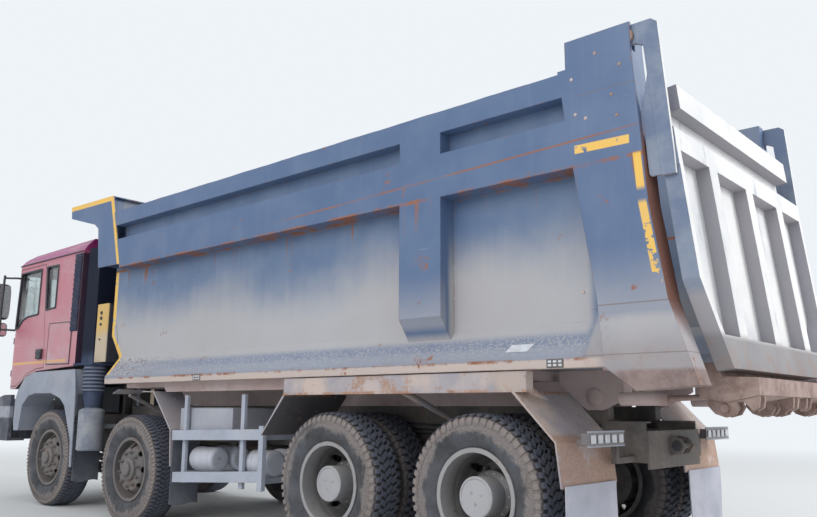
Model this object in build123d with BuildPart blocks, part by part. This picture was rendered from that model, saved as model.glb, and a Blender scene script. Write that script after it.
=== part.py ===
from build123d import *
import os
from math import asin, cos, sin

# Four-axle tipping truck with a sleeper cab, standing level on its wheels.
# It faces -Y, +X is its left side, and Z is measured up from the ground.
# Stations given as Y values in the tables are measured back from the first axle.

# Driving dimensions, in millimetres
LENGTH = 9380
FRONT_OVERHANG = 1480
WHEELBASE_1_2 = 1795
WHEELBASE_2_3 = 2980
WHEELBASE_3_4 = 1400
HALF_WIDTH = 1275
RUNNING_GAP = 0.3
CLEARANCE = 8

AXLE_1_Y = FRONT_OVERHANG - LENGTH / 2
AXLE_3 = WHEELBASE_1_2 + WHEELBASE_2_3
AXLE_4 = AXLE_3 + WHEELBASE_3_4

# Wheels and tyres
TYRE_R = 540
TYRE_W = 315
TREAD_W = 250
SHOULDER_W = 290
SHOULDER_R = 510
BEAD_W = 228
BEAD_R = 296
SEAT_R = BEAD_R - RUNNING_GAP
RIM_WALL = 10
FLANGE_X = BEAD_W / 2 + 2
FLANGE_R = 318
FRONT_TYRE_X = 1032
REAR_TYRE_X = 900
TWIN_SPACING = 354
BRAKE_DRUM_R = 206
SPINDLE_R = 42
REAR_SPINDLE_R = 55
REAR_BACKPLATE_X = 630
CAP_R = 118
HAND_HOLES = 8
HAND_HOLE_R = 32
FLAT_SAG = 45
FLAT_BULGE = 24
FLAT_FOOT = 265
FLAT_H = 120

# Steered axles
KINGPIN_X = 860
KINGPIN_R = 22
EYE_R = 50
EYE_H = 150
YOKE_T = 46
BEAM_DROP = 120
BEAM_H = 110
BEAM_W = 96
SPRING_X = 410
SPRING_W = 90
SEAT_H = 24
SPRING_HALF = 780
SPRING_EYE_Z = 690
SPRING_T = 62
PLATE_X = 932
ARM_BACK = 190
STUD_R = 12
TIE_EYE_R = 26
TIE_EYE_H = 30
TIE_R = 19
BOGIE_LEAVES = 8
LEAF_T = 22
BOGIE_STEP = 85
BOGIE_SEAT_Z = 690
BOGIE_GAP = 12
TRUNNION_Z = 600

# Chassis frame
RAIL_X = 425
RAIL_TOP = 1030
RAIL_H = 270
RAIL_FLANGE = 85
RAIL_T = 10
FRAME_TAIL = 7020
LAMP_BAR_Y = 6940
FRAME_NOSE = -1180
BOGIE_Y = AXLE_3 + WHEELBASE_3_4 / 2
ENGINE_Y = (-980, 420)
ENGINE_HALF = 330
ENGINE_TOP = 1300
SUB_H = 100
SUB_W = 85
TAIL_PLATE_T = 16

# Tipping body
FLOOR_Z = 1440
FLOOR_T = 60
SILL_BOTTOM = 1352
SILL_TOP = 1412
LEDGE_TOP = 1640
WALL_X = 1120
SILL_X = 1120
HOPPER_X = 850
HOPPER_TOP = 1800
WALL_T = 15
MID_RAIL_BOTTOM = 2590
MID_RAIL_TOP = 2910
TOP_RAIL_BOTTOM = 3070
TOP_RAIL_TOP = 3230
RECESS_X = 1160
HEADBOARD_Y = 1200
HEADBOARD_T = 20
WALL_FOOT_Y = 1385
WALL_TAIL_Y = 7180
TAIL_STATION = LENGTH - FRONT_OVERHANG
STAKE_Y = (5565, 5955)
TIP_HINGE_Y = 6670
TIP_HINGE_Z = 1193
TIP_PIN_R = 32
TIP_BOSS_R = 54
TIP_EAR_FOOT = 80
LUG_T = 22

# Tailgate
GATE_HINGE_Y = 7400
GATE_HINGE_Z = 3350
GATE_PIN_R = 25
GATE_TOP_Y = 7515
GATE_FOOT_Y = 7700
GATE_FOOT_Z = 1318
GATE_TOP_Z = 3040
GATE_CORNER_Z = 1815
GATE_X = 1215
GATE_HEAD_X = 1050
GATE_FOOT_X = 930
GATE_RIBS = (-660, 0, 660)
GATE_RIB_W = 140
GATE_BEAM_D = 100
GATE_SHEET_T = 12
ARM_X = 1232
ARM_T = 25

# Body underframe
BEARER_H = 72
BEARER_W = 70
BEARERS = (1560, 2150, 2740, 3330, 3920, 4510, 5100, 5690, 6280)
SIDE_BEAM_X = (1085, 1119)

# Front hoist
HOIST_Y = 800
HOIST_FOOT_Z = 1240
HOIST_R = 105
HOIST_WALL = 12
HOIST_STAGES = 4
HOIST_TOP_Z = 2760
HOIST_CRADLE_X = 125
HOIST_PIN_R = 28
HOIST_LIP = 40
HOIST_TUBE_TOP = 2500
HOIST_EYE_W = 120

# Bumper, lamps, wings, intake and rack
BUMPER_Z = (700, 1200)
BUMPER_T = 45
LAMP_X = (640, 880)
LAMP_Z = (930, 1100)
LAMP_BACK = -1440
WING_X = 900
WING_SKIN_X = 1228
WING_T = 12
FILTER_X = 1085
FILTER_Y = 800
FILTER_R = 138
FILTER_Z = (640, 1090)
BELLOWS_R = 130
BELLOWS_Z = (1290, 1575)
PLEATS = 14
PLEAT = 18
RACK_X = 1180
RACK_Y = (WHEELBASE_1_2 + 845, WHEELBASE_1_2 + 2205)
RACK_POSTS = (145, 470, 1020, 1280)
FUEL_TANK_Y = WHEELBASE_1_2 + 1505
RACK_TOP = 900
RACK_SEAT = 530
TANK_R = 110
SKIRT_Z = 1213

# Cab
CAB_HALF = 1120
CAB_WALL = 55
CAB_FRONT = -1462
CAB_REAR = 372
CAB_CORNER = 160
CAB_SHEET = 20
CAB_ROOF = 35
GUTTER_Z = 2945
CAB_PIVOT_Y = -1250
CAB_PIVOT_Z = 1000
CAB_PIN_R = 24
CAB_REST_Z = 1578
DOOR_Y = (-1396, -430)
DOOR_FOOT = (1368, 1582)
DOOR_TOP = 2895
DOOR_HEAD_Y = -600
DOOR_DEPTH_X = 985
DOOR_HINGE = (1094, -1393)
DOOR_HINGE_Z = (1540, 1960)
HINGE_HALF = 30
HINGE_PIN_R = 7
DOOR_GAP = 6
GLASS_T = 6
GLASS_SEAT = 1

os.makedirs("parts", exist_ok=True)


def sta(y):
    """Turns a station behind the first axle into the Y of the model."""
    return AXLE_1_Y + y


def side_plane(x=0):
    """A sketch plane seen from the left: its x is Y, its y is Z."""
    return Plane(origin=(x, 0, 0), x_dir=(0, 1, 0), z_dir=(1, 0, 0))


def front_plane(y=0):
    """A sketch plane seen from the front: its x is X, its y is Z."""
    return Plane(origin=(0, y, 0), x_dir=(1, 0, 0), z_dir=(0, -1, 0))


def side_profile(points, x0, x1, mode=Mode.ADD):
    """Adds a prism of a side outline of (station, z) points, from x0 to x1."""
    with BuildSketch(side_plane((x0 + x1) / 2)) as outline:
        with BuildLine():
            Polyline(*[(sta(y), z) for y, z in points], close=True)
        make_face()
    extrude(outline.sketch, amount=abs(x1 - x0) / 2, both=True, mode=mode)


def front_profile(points, y0, y1, mode=Mode.ADD):
    """Adds a prism of a front outline of (x, z) points, from station y0 to y1."""
    with BuildSketch(front_plane(sta((y0 + y1) / 2))) as outline:
        with BuildLine():
            Polyline(*points, close=True)
        make_face()
    extrude(outline.sketch, amount=abs(y1 - y0) / 2, both=True, mode=mode)


def plan_profile(points, z0, z1, mode=Mode.ADD):
    """Adds a prism of a plan outline of (x, station) points, from z0 to z1."""
    with BuildSketch(Plane.XY.offset(z0)) as outline:
        with BuildLine():
            Polyline(*[(x, sta(y)) for x, y in points], close=True)
        make_face()
    extrude(outline.sketch, amount=z1 - z0, mode=mode)


def both_sides(points):
    """Mirrors the (x, station) points of a left half outline into a full one."""
    return list(points) + [(-x, y) for x, y in reversed(points)]


def block(x, y, z, mode=Mode.ADD):
    """Adds a box from pairs of limits: x, station y and z."""
    centre = ((x[0] + x[1]) / 2, sta((y[0] + y[1]) / 2), (z[0] + z[1]) / 2)
    with Locations(centre):
        Box(abs(x[1] - x[0]), abs(y[1] - y[0]), abs(z[1] - z[0]), mode=mode)


def rod(start, end, radius, mode=Mode.ADD):
    """Adds a round bar between two (x, station, z) points."""
    a = Vector(start[0], sta(start[1]), start[2])
    b = Vector(end[0], sta(end[1]), end[2])
    with BuildSketch(Plane(origin=a, z_dir=b - a)) as section:
        Circle(radius)
    extrude(section.sketch, amount=(b - a).length, mode=mode)


def turned(points, x_axis_y, x_axis_z, mode=Mode.ADD):
    """Revolves (x, radius) points about a line along X through (y, z)."""
    plane = Plane(origin=(0, x_axis_y, x_axis_z), x_dir=(1, 0, 0), z_dir=(0, -1, 0))
    with BuildSketch(plane) as section:
        with BuildLine():
            Polyline(*points, close=True)
        make_face()
    revolve(section.sketch, axis=Axis((0, x_axis_y, x_axis_z), (1, 0, 0)), mode=mode)


def finish(piece, label):
    """Labels a piece and writes it to its own file."""
    piece.label = label
    export_step(piece, f"parts/{label}.step")
    return piece


# Chassis: side rails of channel section with cross members
with BuildPart() as chassis_frame:
    rail_low = RAIL_TOP - RAIL_H
    for side in (-1, 1):
        web = (side * (RAIL_X - RAIL_T), side * RAIL_X)
        flange = (side * (RAIL_X - RAIL_FLANGE), side * RAIL_X)
        block(web, (FRAME_NOSE, FRAME_TAIL), (rail_low, RAIL_TOP))
        block(flange, (FRAME_NOSE, FRAME_TAIL), (rail_low, rail_low + RAIL_T))
        block(flange, (FRAME_NOSE, FRAME_TAIL), (RAIL_TOP - RAIL_T, RAIL_TOP))
    # stations of the cross members behind the first axle
    for y in (-1080, 1420, 2520, 3900, 5475, 6700):
        between = RAIL_X - RAIL_T - RUNNING_GAP
        block((-between, between), (y - 35, y + 35), (rail_low + 60, RAIL_TOP - 60))
    for side in (-1, 1):
        # plates beside each cab pivot, its pin, and the rear cab rest
        plate = [(FRAME_NOSE + 30, 880), (CAB_PIVOT_Y - 50, 930), (CAB_PIVOT_Y - 50, CAB_PIVOT_Z + 45),
                 (FRAME_NOSE + 30, CAB_PIVOT_Z + 30)]
        for x in (RAIL_X - 50, RAIL_X + 28):
            side_profile(plate, side * x, side * (x + 22))
        block((side * (RAIL_X - 50), side * (RAIL_X + 50)), (FRAME_NOSE, FRAME_NOSE + 40), (800, 980))
        rod((side * (RAIL_X - 50), CAB_PIVOT_Y, CAB_PIVOT_Z), (side * (RAIL_X + 50), CAB_PIVOT_Y, CAB_PIVOT_Z),
            CAB_PIN_R)
        block((side * (RAIL_X - 80), side * RAIL_X), (270, 330), (RAIL_TOP + RUNNING_GAP, CAB_REST_Z))
    # tail cross member, its coupling cheeks and the bar that carries the lamps
    block((-RAIL_X, RAIL_X), (FRAME_TAIL + RUNNING_GAP, FRAME_TAIL + TAIL_PLATE_T),
          (rail_low - 40, RAIL_TOP - 60))
    for side in (-1, 1):
        cheek = [(FRAME_TAIL + TAIL_PLATE_T, 800), (FRAME_TAIL + 90, 815), (FRAME_TAIL + 120, 860),
                 (FRAME_TAIL + 90, 915), (FRAME_TAIL + TAIL_PLATE_T, 930)]
        side_profile(cheek, side * 60, side * 85)
        # the lamp bar runs low beside the rail, where the tipped body passes
        bar_y = (LAMP_BAR_Y - 40, LAMP_BAR_Y)
        block((side * (RAIL_X + RUNNING_GAP), side * 700), bar_y, (765, 805))
        block((side * 660, side * 700), bar_y, (765, 930))
        block((side * 660, side * 1130), bar_y, (890, 930))
    rod((-60, FRAME_TAIL + 75, 865), (60, FRAME_TAIL + 75, 865), 20)
finish(chassis_frame.part, "chassis_frame")

# Tipping subframe on the side rails, with the ears and pins of the tipping hinge
with BuildPart() as subframe:
    sub_top = RAIL_TOP + SUB_H
    ear_x = (RAIL_X - SUB_W, RAIL_X)
    ear = [(TIP_HINGE_Y - TIP_EAR_FOOT, sub_top), (TIP_HINGE_Y - TIP_BOSS_R, TIP_HINGE_Z),
           (TIP_HINGE_Y + TIP_BOSS_R, TIP_HINGE_Z), (TIP_HINGE_Y + TIP_EAR_FOOT, sub_top)]
    for side in (-1, 1):
        rail = (side * ear_x[0], side * ear_x[1])
        block(rail, (500, TIP_HINGE_Y + TIP_EAR_FOOT), (RAIL_TOP, sub_top))
        side_profile(ear, *rail)
        rod((rail[0], TIP_HINGE_Y, TIP_HINGE_Z), (rail[1], TIP_HINGE_Y, TIP_HINGE_Z), TIP_BOSS_R)
        pin_end = RAIL_X + CLEARANCE + LUG_T + CLEARANCE
        rod((rail[1], TIP_HINGE_Y, TIP_HINGE_Z), (side * pin_end, TIP_HINGE_Y, TIP_HINGE_Z), TIP_PIN_R)
        # cradle plates that carry the hoist's trunnions
        cradle_foot = sub_top + RUNNING_GAP
        cradle = [(HOIST_Y - 160, cradle_foot), (HOIST_Y - 60, HOIST_FOOT_Z + 60),
                  (HOIST_Y + 60, HOIST_FOOT_Z + 60), (HOIST_Y + 160, cradle_foot)]
        side_profile(cradle, side * HOIST_CRADLE_X, side * (HOIST_CRADLE_X + 25))
    for y in (HOIST_Y - 110, HOIST_Y + 110, 2700, 4400):
        between = ear_x[0] - RUNNING_GAP
        block((-between, between), (y - 40, y + 40), (RAIL_TOP + 10, sub_top))
    rod((-HOIST_CRADLE_X - 25, HOIST_Y, HOIST_FOOT_Z), (HOIST_CRADLE_X + 25, HOIST_Y, HOIST_FOOT_Z),
        HOIST_PIN_R + RUNNING_GAP, mode=Mode.SUBTRACT)
finish(subframe.part, "subframe")


def sagged(x, sag):
    """How far an axle drops at x, when its left tyre is flat by sag."""
    return -sag * (x + KINGPIN_X) / (2 * KINGPIN_X)


def beam_seat_z(side, sag):
    """The height of a spring seat on an axle beam."""
    return TYRE_R - BEAM_DROP + 20 + SEAT_H + sagged(side * SPRING_X, sag)


def beam_outline(sag):
    """The front outline of a dropped axle beam, as (x, z) points."""
    # half outline: x, height of its top over the wheel centre, height of its bottom
    table = ((0, -BEAM_DROP + 20, -BEAM_DROP - BEAM_H + 20),
             (SPRING_X + 90, -BEAM_DROP + 20, -BEAM_DROP - BEAM_H + 20),
             (KINGPIN_X - 150, 40, -70),
             (KINGPIN_X, 55, -55))
    half = [(x, top, low) for x, top, low in table]
    points = [(x, TYRE_R + top + sagged(x, sag)) for x, top, low in half]
    points += [(x, TYRE_R + low + sagged(x, sag)) for x, top, low in reversed(half)]
    left = points[1:-1]
    right = [(-x, TYRE_R + low + sagged(-x, sag)) for x, top, low in half[1:]]
    right += [(-x, TYRE_R + top + sagged(-x, sag)) for x, top, low in reversed(half[1:])]
    return left + right


# Front axle beams: dropped I sections with an eye for each kingpin
with BuildPart() as front_axles:
    for axle_y, sag in ((0, 0), (WHEELBASE_1_2, FLAT_SAG)):
        front_profile(beam_outline(sag), axle_y - BEAM_W / 2, axle_y + BEAM_W / 2)
        for side in (-1, 1):
            z = TYRE_R + sagged(side * KINGPIN_X, sag)
            eye = (side * KINGPIN_X, axle_y)
            rod((*eye, z - EYE_H / 2), (*eye, z + EYE_H / 2), EYE_R)
            rod((*eye, z - EYE_H), (*eye, z + EYE_H), KINGPIN_R + RUNNING_GAP, mode=Mode.SUBTRACT)
            seat = beam_seat_z(side, sag)
            block((side * (SPRING_X - 50), side * (SPRING_X + 50)), (axle_y - 80, axle_y + 80),
                  (seat - SEAT_H - 30, seat))
finish(front_axles.part, "front_axle_beams")

# Leaf springs: one pack for each steered wheel, one stepped pack for each side of the bogie
with BuildPart() as springs:
    for axle_y, sag in ((0, 0), (WHEELBASE_1_2, FLAT_SAG)):
        for side in (-1, 1):
            seat = beam_seat_z(side, sag)
            ends = [(axle_y + end * SPRING_HALF, SPRING_EYE_Z) for end in (-1, 1)]
            with BuildSketch(side_plane(side * SPRING_X)) as pack:
                with BuildLine():
                    low = [(sta(y), z) for y, z in (ends[0], (axle_y, seat), ends[1])]
                    top = [(sta(y), z) for y, z in ((ends[1][0], SPRING_EYE_Z + 26),
                                                    (axle_y, seat + SPRING_T),
                                                    (ends[0][0], SPRING_EYE_Z + 26))]
                    ThreePointArc(*low)
                    Line(low[2], top[0])
                    ThreePointArc(*top)
                    Line(top[2], low[0])
                make_face()
            extrude(pack.sketch, amount=SPRING_W / 2, both=True)
            wide = (side * (SPRING_X - SPRING_W / 2 - 5), side * (SPRING_X + SPRING_W / 2 + 5))
            block(wide, (axle_y - 70, axle_y + 70), (seat, seat + SPRING_T + 25))
            for y, z in ends:
                block(wide, (y - 40, y + 40), (z - 25, rail_low))
    for side in (-1, 1):
        wide = (side * (RAIL_X + BOGIE_GAP), side * (RAIL_X + BOGIE_GAP + SPRING_W))
        for leaf in range(BOGIE_LEAVES):
            reach = WHEELBASE_3_4 / 2 + 90 - leaf * BOGIE_STEP
            low = BOGIE_SEAT_Z + leaf * LEAF_T
            block(wide, (BOGIE_Y - reach, BOGIE_Y + reach), (low, low + LEAF_T))
        post = [(BOGIE_Y - 160, rail_low), (BOGIE_Y - 90, TRUNNION_Z - 60), (BOGIE_Y + 90, TRUNNION_Z - 60),
                (BOGIE_Y + 160, rail_low)]
        side_profile(post, side * (RAIL_X - 70), side * RAIL_X)
        rod((side * (RAIL_X - 70), BOGIE_Y, TRUNNION_Z), (wide[1] + side * 15, BOGIE_Y, TRUNNION_Z), 60)
        block(wide, (BOGIE_Y - 90, BOGIE_Y + 90), (TRUNNION_Z, BOGIE_SEAT_Z))
finish(springs.part, "leaf_springs")

# Driven axles: a round banjo housing, tapering arms, spring seats and wheel spindles
with BuildPart() as rear_axles:
    for axle_y in (AXLE_3, AXLE_4):
        half = [(0, 215), (150, 190), (230, 95), (REAR_BACKPLATE_X - 20, 78),
                (REAR_BACKPLATE_X - 20, 150), (REAR_BACKPLATE_X, 150), (REAR_BACKPLATE_X, REAR_SPINDLE_R),
                (REAR_TYRE_X + 60, REAR_SPINDLE_R), (REAR_TYRE_X + 60, 0)]
        section = half + [(-x, r) for x, r in reversed(half)]
        turned(section[1:-1], sta(axle_y), TYRE_R)
        for side in (-1, 1):
            wide = (side * (RAIL_X + BOGIE_GAP), side * (RAIL_X + BOGIE_GAP + SPRING_W))
            block(wide, (axle_y - 60, axle_y + 60), (TYRE_R, BOGIE_SEAT_Z))
finish(rear_axles.part, "rear_axles")

# Engine, a plain block on two mounts, and behind it the gearbox and propeller shafts
with BuildPart() as engine:
    block((-ENGINE_HALF, ENGINE_HALF), (ENGINE_Y[0], ENGINE_Y[1]), (560, ENGINE_TOP))
    block((RAIL_T - RAIL_X, RAIL_X - RAIL_T), (-320, -220), (860, 940))
finish(engine.part, "engine")

with BuildPart() as driveline:
    rod((0, ENGINE_Y[1], 790), (0, ENGINE_Y[1] + 120, 790), 240)
    block((-170, 170), (ENGINE_Y[1] + 120, ENGINE_Y[1] + 780), (610, 940))
    rod((0, ENGINE_Y[1] + 780, 760), (0, AXLE_3 - 190, TYRE_R + 50), 55)
    rod((0, AXLE_3 + 190, TYRE_R + 40), (0, AXLE_4 - 190, TYRE_R + 40), 50)
finish(driveline.part, "driveline")


def tyre_section(x):
    """A tyre's section around the middle plane x: bead, bulged sidewalls, tread."""
    with BuildSketch(Plane.XY, mode=Mode.PRIVATE) as section:
        with BuildLine():
            lip = FLANGE_R + 5
            wall = (lip + SHOULDER_R) / 2
            Line((x + BEAD_W / 2, BEAD_R), (x + BEAD_W / 2, lip))
            ThreePointArc((x + BEAD_W / 2, lip), (x + TYRE_W / 2, wall), (x + SHOULDER_W / 2, SHOULDER_R))
            Polyline((x + SHOULDER_W / 2, SHOULDER_R), (x + TREAD_W / 2, TYRE_R),
                     (x - TREAD_W / 2, TYRE_R), (x - SHOULDER_W / 2, SHOULDER_R))
            ThreePointArc((x - SHOULDER_W / 2, SHOULDER_R), (x - TYRE_W / 2, wall), (x - BEAD_W / 2, lip))
            Polyline((x - BEAD_W / 2, lip), (x - BEAD_W / 2, BEAD_R), (x + BEAD_W / 2, BEAD_R))
        make_face()
    return section.sketch


def add_tyre(x, y, z):
    """Adds one tyre, turned about the line along X through (y, z)."""
    upright = Plane(origin=(0, y, z), x_dir=(1, 0, 0), z_dir=(0, -1, 0))
    revolve(upright * tyre_section(x), axis=Axis((0, y, z), (1, 0, 0)))


def wheel_name(kind, axle, side):
    return f"{kind}_{axle}_{'left' if side > 0 else 'right'}"


# Rim sections as (offset outwards from the wheel's middle, radius)
BARREL = ((-FLANGE_X - 10, FLANGE_R), (-FLANGE_X, FLANGE_R), (-FLANGE_X, SEAT_R), (FLANGE_X, SEAT_R),
          (FLANGE_X, FLANGE_R), (FLANGE_X + 10, FLANGE_R), (FLANGE_X + 10, SEAT_R - RIM_WALL),
          (-FLANGE_X - 10, SEAT_R - RIM_WALL))
FRONT_DISC = ((10, SEAT_R - 4), (46, 232), (98, 204), (98, 60), (112, 60), (112, 210), (58, 244), (30, SEAT_R - 4))
FRONT_HUB = ((-84, BRAKE_DRUM_R), (40, BRAKE_DRUM_R), (60, 110), (135, 110), (150, 86), (152, 0), (130, 0),
             (130, SPINDLE_R + RUNNING_GAP), (-84, SPINDLE_R + RUNNING_GAP))
REAR_DISC = ((155, SEAT_R - 4), (60, 256), (14, 222), (14, 80), (-2, 80), (-2, 228), (48, 268), (130, SEAT_R - 4))
REAR_HUB = ((-262, BRAKE_DRUM_R), (-40, BRAKE_DRUM_R), (-20, 165), (110, 165), (130, CAP_R), (270, CAP_R - 6),
            (284, CAP_R - 24), (284, 0), (62, 0), (62, REAR_SPINDLE_R + RUNNING_GAP),
            (-262, REAR_SPINDLE_R + RUNNING_GAP))


def add_section(section, side, x, y, z, flip=1):
    """Turns a rim section placed at x on one side of the truck."""
    turned([(side * (x + flip * dx), r) for dx, r in section], sta(y), z)


def hand_holes(side, x0, x1, y, z, ring):
    """Cuts the round holes in a wheel disc, between x0 and x1."""
    wheel = Plane(origin=(side * x0, sta(y), z), x_dir=(0, 1, 0), z_dir=(side, 0, 0))
    with BuildSketch(wheel) as holes:
        with PolarLocations(ring, HAND_HOLES):
            Circle(HAND_HOLE_R)
    extrude(holes.sketch, amount=x1 - x0, mode=Mode.SUBTRACT)


def build_front_wheel(axle, side, axle_y, z, flat):
    """One steered wheel: the tyre and the rim with its disc, hub and brake drum."""
    with BuildPart() as tyre:
        add_tyre(side * FRONT_TYRE_X, sta(axle_y), z)
        if flat:
            # the flat tyre spreads over the ground and bulges beside it
            spread = ((-FLAT_FOOT, 0), (FLAT_FOOT, 0), (FLAT_FOOT - 20, FLAT_H), (20 - FLAT_FOOT, FLAT_H))
            side_profile([(axle_y + dy, dz) for dy, dz in spread],
                         side * (FRONT_TYRE_X - TYRE_W / 2 - FLAT_BULGE),
                         side * (FRONT_TYRE_X + TYRE_W / 2 + FLAT_BULGE))
            block((side * 700, side * 1400), (axle_y - TYRE_R, axle_y + TYRE_R), (-TYRE_R, 0),
                  mode=Mode.SUBTRACT)
    finish(tyre.part, wheel_name("tyre", axle, side))
    with BuildPart() as rim:
        for section in (BARREL, FRONT_DISC, FRONT_HUB):
            add_section(section, side, FRONT_TYRE_X, axle_y, z)
        hand_holes(side, FRONT_TYRE_X + 41, FRONT_TYRE_X + 130, axle_y, z, 226)
    finish(rim.part, wheel_name("rim", axle, side))


def build_rear_wheel(axle, side, axle_y):
    """One pair of twin wheels: two tyres, and two rims bolted to one hub."""
    with BuildPart() as tyres:
        for twin in (-1, 1):
            add_tyre(side * (REAR_TYRE_X + twin * TWIN_SPACING / 2), sta(axle_y), TYRE_R)
    finish(tyres.part, wheel_name("tyres", axle, side))
    with BuildPart() as rims:
        for twin in (-1, 1):
            add_section(BARREL, side, REAR_TYRE_X + twin * TWIN_SPACING / 2, axle_y, TYRE_R)
            add_section(REAR_DISC, side, REAR_TYRE_X, axle_y, TYRE_R, flip=twin)
        add_section(REAR_HUB, side, REAR_TYRE_X, axle_y, TYRE_R)
        hand_holes(side, REAR_TYRE_X - 120, REAR_TYRE_X + 120, axle_y, TYRE_R, 240)
    finish(rims.part, wheel_name("rims", axle, side))


def build_knuckle(axle, side, axle_y, z):
    """A steering knuckle: forked yoke, kingpin, spindle, brake plate and track arm."""
    x = KINGPIN_X
    fork = EYE_H / 2 + RUNNING_GAP
    with BuildPart() as knuckle:
        for end in (-1, 1):
            rod((side * x, axle_y, z + end * fork), (side * x, axle_y, z + end * (fork + YOKE_T)), EYE_R)
            block((side * x, side * PLATE_X), (axle_y - 45, axle_y + 45),
                  (z + end * fork, z + end * (fork + YOKE_T)))
        rod((side * x, axle_y, z - fork - YOKE_T), (side * x, axle_y, z + fork + YOKE_T), KINGPIN_R)
        block((side * (x + EYE_R + CLEARANCE), side * PLATE_X), (axle_y - 70, axle_y + 70),
              (z - fork - YOKE_T, z + fork + YOKE_T))
        rod((side * PLATE_X, axle_y, z), (side * (PLATE_X + 8), axle_y, z), 190)
        rod((side * PLATE_X, axle_y, z), (side * (FRONT_TYRE_X + 129), axle_y, z), SPINDLE_R)
        arm_z = (z - fork - YOKE_T, z - fork - YOKE_T + 30)
        block((side * (x - 28), side * (x + 28)), (axle_y, axle_y + ARM_BACK), arm_z)
        rod((side * x, axle_y + ARM_BACK, arm_z[0]), (side * x, axle_y + ARM_BACK, arm_z[1]), 28)
        rod((side * x, axle_y + ARM_BACK, arm_z[0] - TIE_EYE_H - 12),
            (side * x, axle_y + ARM_BACK, arm_z[0]), STUD_R)
    finish(knuckle.part, wheel_name("knuckle", axle, side))
    return arm_z[0]


def build_tie_rod(axle, axle_y, left_z, right_z):
    """The track rod between both knuckles, an eye on each ball stud."""
    y = axle_y + ARM_BACK
    ends = ((KINGPIN_X, left_z), (-KINGPIN_X, right_z))
    with BuildPart() as tie:
        rod(*[(x, y, z - 6 - TIE_EYE_H / 2) for x, z in ends], TIE_R)
        for x, z in ends:
            rod((x, y, z - 6 - TIE_EYE_H), (x, y, z - 6), TIE_EYE_R)
        for x, z in ends:
            rod((x, y, z - 30 - TIE_EYE_H), (x, y, z), STUD_R + RUNNING_GAP, mode=Mode.SUBTRACT)
    finish(tie.part, f"tie_rod_{axle}")


for axle, axle_y, sags in ((1, 0, (0, 0)), (2, WHEELBASE_1_2, (FLAT_SAG, 0))):
    arm_z = []
    for side, sag in zip((1, -1), sags):
        build_front_wheel(axle, side, axle_y, TYRE_R - sag, sag > 0)
        arm_z.append(build_knuckle(axle, side, axle_y, TYRE_R - sag))
    build_tie_rod(axle, axle_y, *arm_z)
for axle, axle_y in ((3, AXLE_3), (4, AXLE_4)):
    for side in (1, -1):
        build_rear_wheel(axle, side, axle_y)

# Cab: outlines seen from the left, as (station, z) points
CAB_FOOT = ((CAB_FRONT, 1345), (-1174, 1338), (-1043, 1408), (-887, 1493), (-616, 1548), (CAB_REAR, 1582))
CAB_HEAD = ((CAB_REAR, 3112), (-1120, 3072), (-1310, 3010), (-1378, 2900), (CAB_FRONT, 2060))


def cab_outline(wall, floor, roof):
    """The cab's side outline, moved inwards by a wall, a floor and a roof."""
    foot = [(y, z + floor) for y, z in CAB_FOOT]
    foot[0] = (CAB_FRONT + wall, CAB_FOOT[1][1] + floor)
    foot[-1] = (CAB_REAR - wall, foot[-1][1])
    head = [(CAB_REAR - wall, CAB_HEAD[0][1] - roof), (CAB_HEAD[1][0] + wall / 2, CAB_HEAD[1][1] - roof),
            (CAB_HEAD[2][0] + wall, CAB_HEAD[2][1] - roof), (CAB_HEAD[3][0] + wall, CAB_HEAD[3][1] - roof / 2),
            (CAB_HEAD[4][0] + wall, CAB_HEAD[4][1])]
    return foot + head


def cab_body(half, wall, floor, roof, corner):
    """A closed cab form: side outline, rounded front corners, drawn-in roof edges."""
    with BuildPart() as body:
        side_profile(cab_outline(wall, floor, roof), -half, half)
        front = [(-half, 1300), (half, 1300), (half, GUTTER_Z), (half - 55, 3030), (half - 150, 3130),
                 (150 - half, 3130), (55 - half, 3030), (-half, GUTTER_Z)]
        front_profile([(x, z - roof if z > 3000 else z) for x, z in front], CAB_FRONT - 100, CAB_REAR + 100,
                      mode=Mode.INTERSECT)
        with BuildSketch(Plane.XY.offset(1300)) as plan:
            depth = CAB_REAR - CAB_FRONT - wall
            with Locations((0, sta(CAB_FRONT + wall + depth / 2))):
                Rectangle(2 * half, depth)
            fillet(plan.vertices().group_by(Axis.Y)[0], radius=corner)
        extrude(plan.sketch, amount=2000, mode=Mode.INTERSECT)
    return body.part


def door_outline(gap):
    """The door's side outline, drawn in by a gap."""
    return [(DOOR_Y[0] + gap, DOOR_FOOT[0] + gap), (-1180, DOOR_FOOT[0] + gap), (-1043 + gap, 1432 + gap),
            (-887, 1518 + gap), (-616, 1574 + gap), (DOOR_Y[1] - gap, DOOR_FOOT[1] + gap),
            (DOOR_HEAD_Y - gap, DOOR_TOP - gap), (DOOR_Y[0] + 78 + gap, DOOR_TOP - gap),
            (DOOR_Y[0] + gap, 2080)]


def window_outline(inset):
    """The door window's outline, with its sill dropping towards the mirror."""
    return [(DOOR_Y[0] + 52 + inset, 2112 + inset), (-1250, 2122 + inset), (-1130, 2215 + inset),
            (-1000, 2250 + inset), (-700 - inset, 2262 + inset), (-700 - inset, 2842 - inset),
            (DOOR_Y[0] + 112 + inset, 2836 - inset)]


def windscreen_outline(inset):
    """The windscreen's front outline as (x, z) points."""
    return [(-1010 + inset, 2080 + inset), (1010 - inset, 2080 + inset), (1000 - inset, 2850 - inset),
            (-1000 + inset, 2850 - inset)]


PANE = ((-488, 2300), (-240, 2312), (-240, 2842), (-548, 2848))


def pane_outline(inset):
    """The fixed pane behind the door."""
    (y0, z0), (y1, z1), (y2, z2), (y3, z3) = PANE
    return [(y0 + inset, z0 + inset), (y1 - inset, z1 + inset), (y2 - inset, z2 - inset), (y3 + inset, z3 - inset)]


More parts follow.
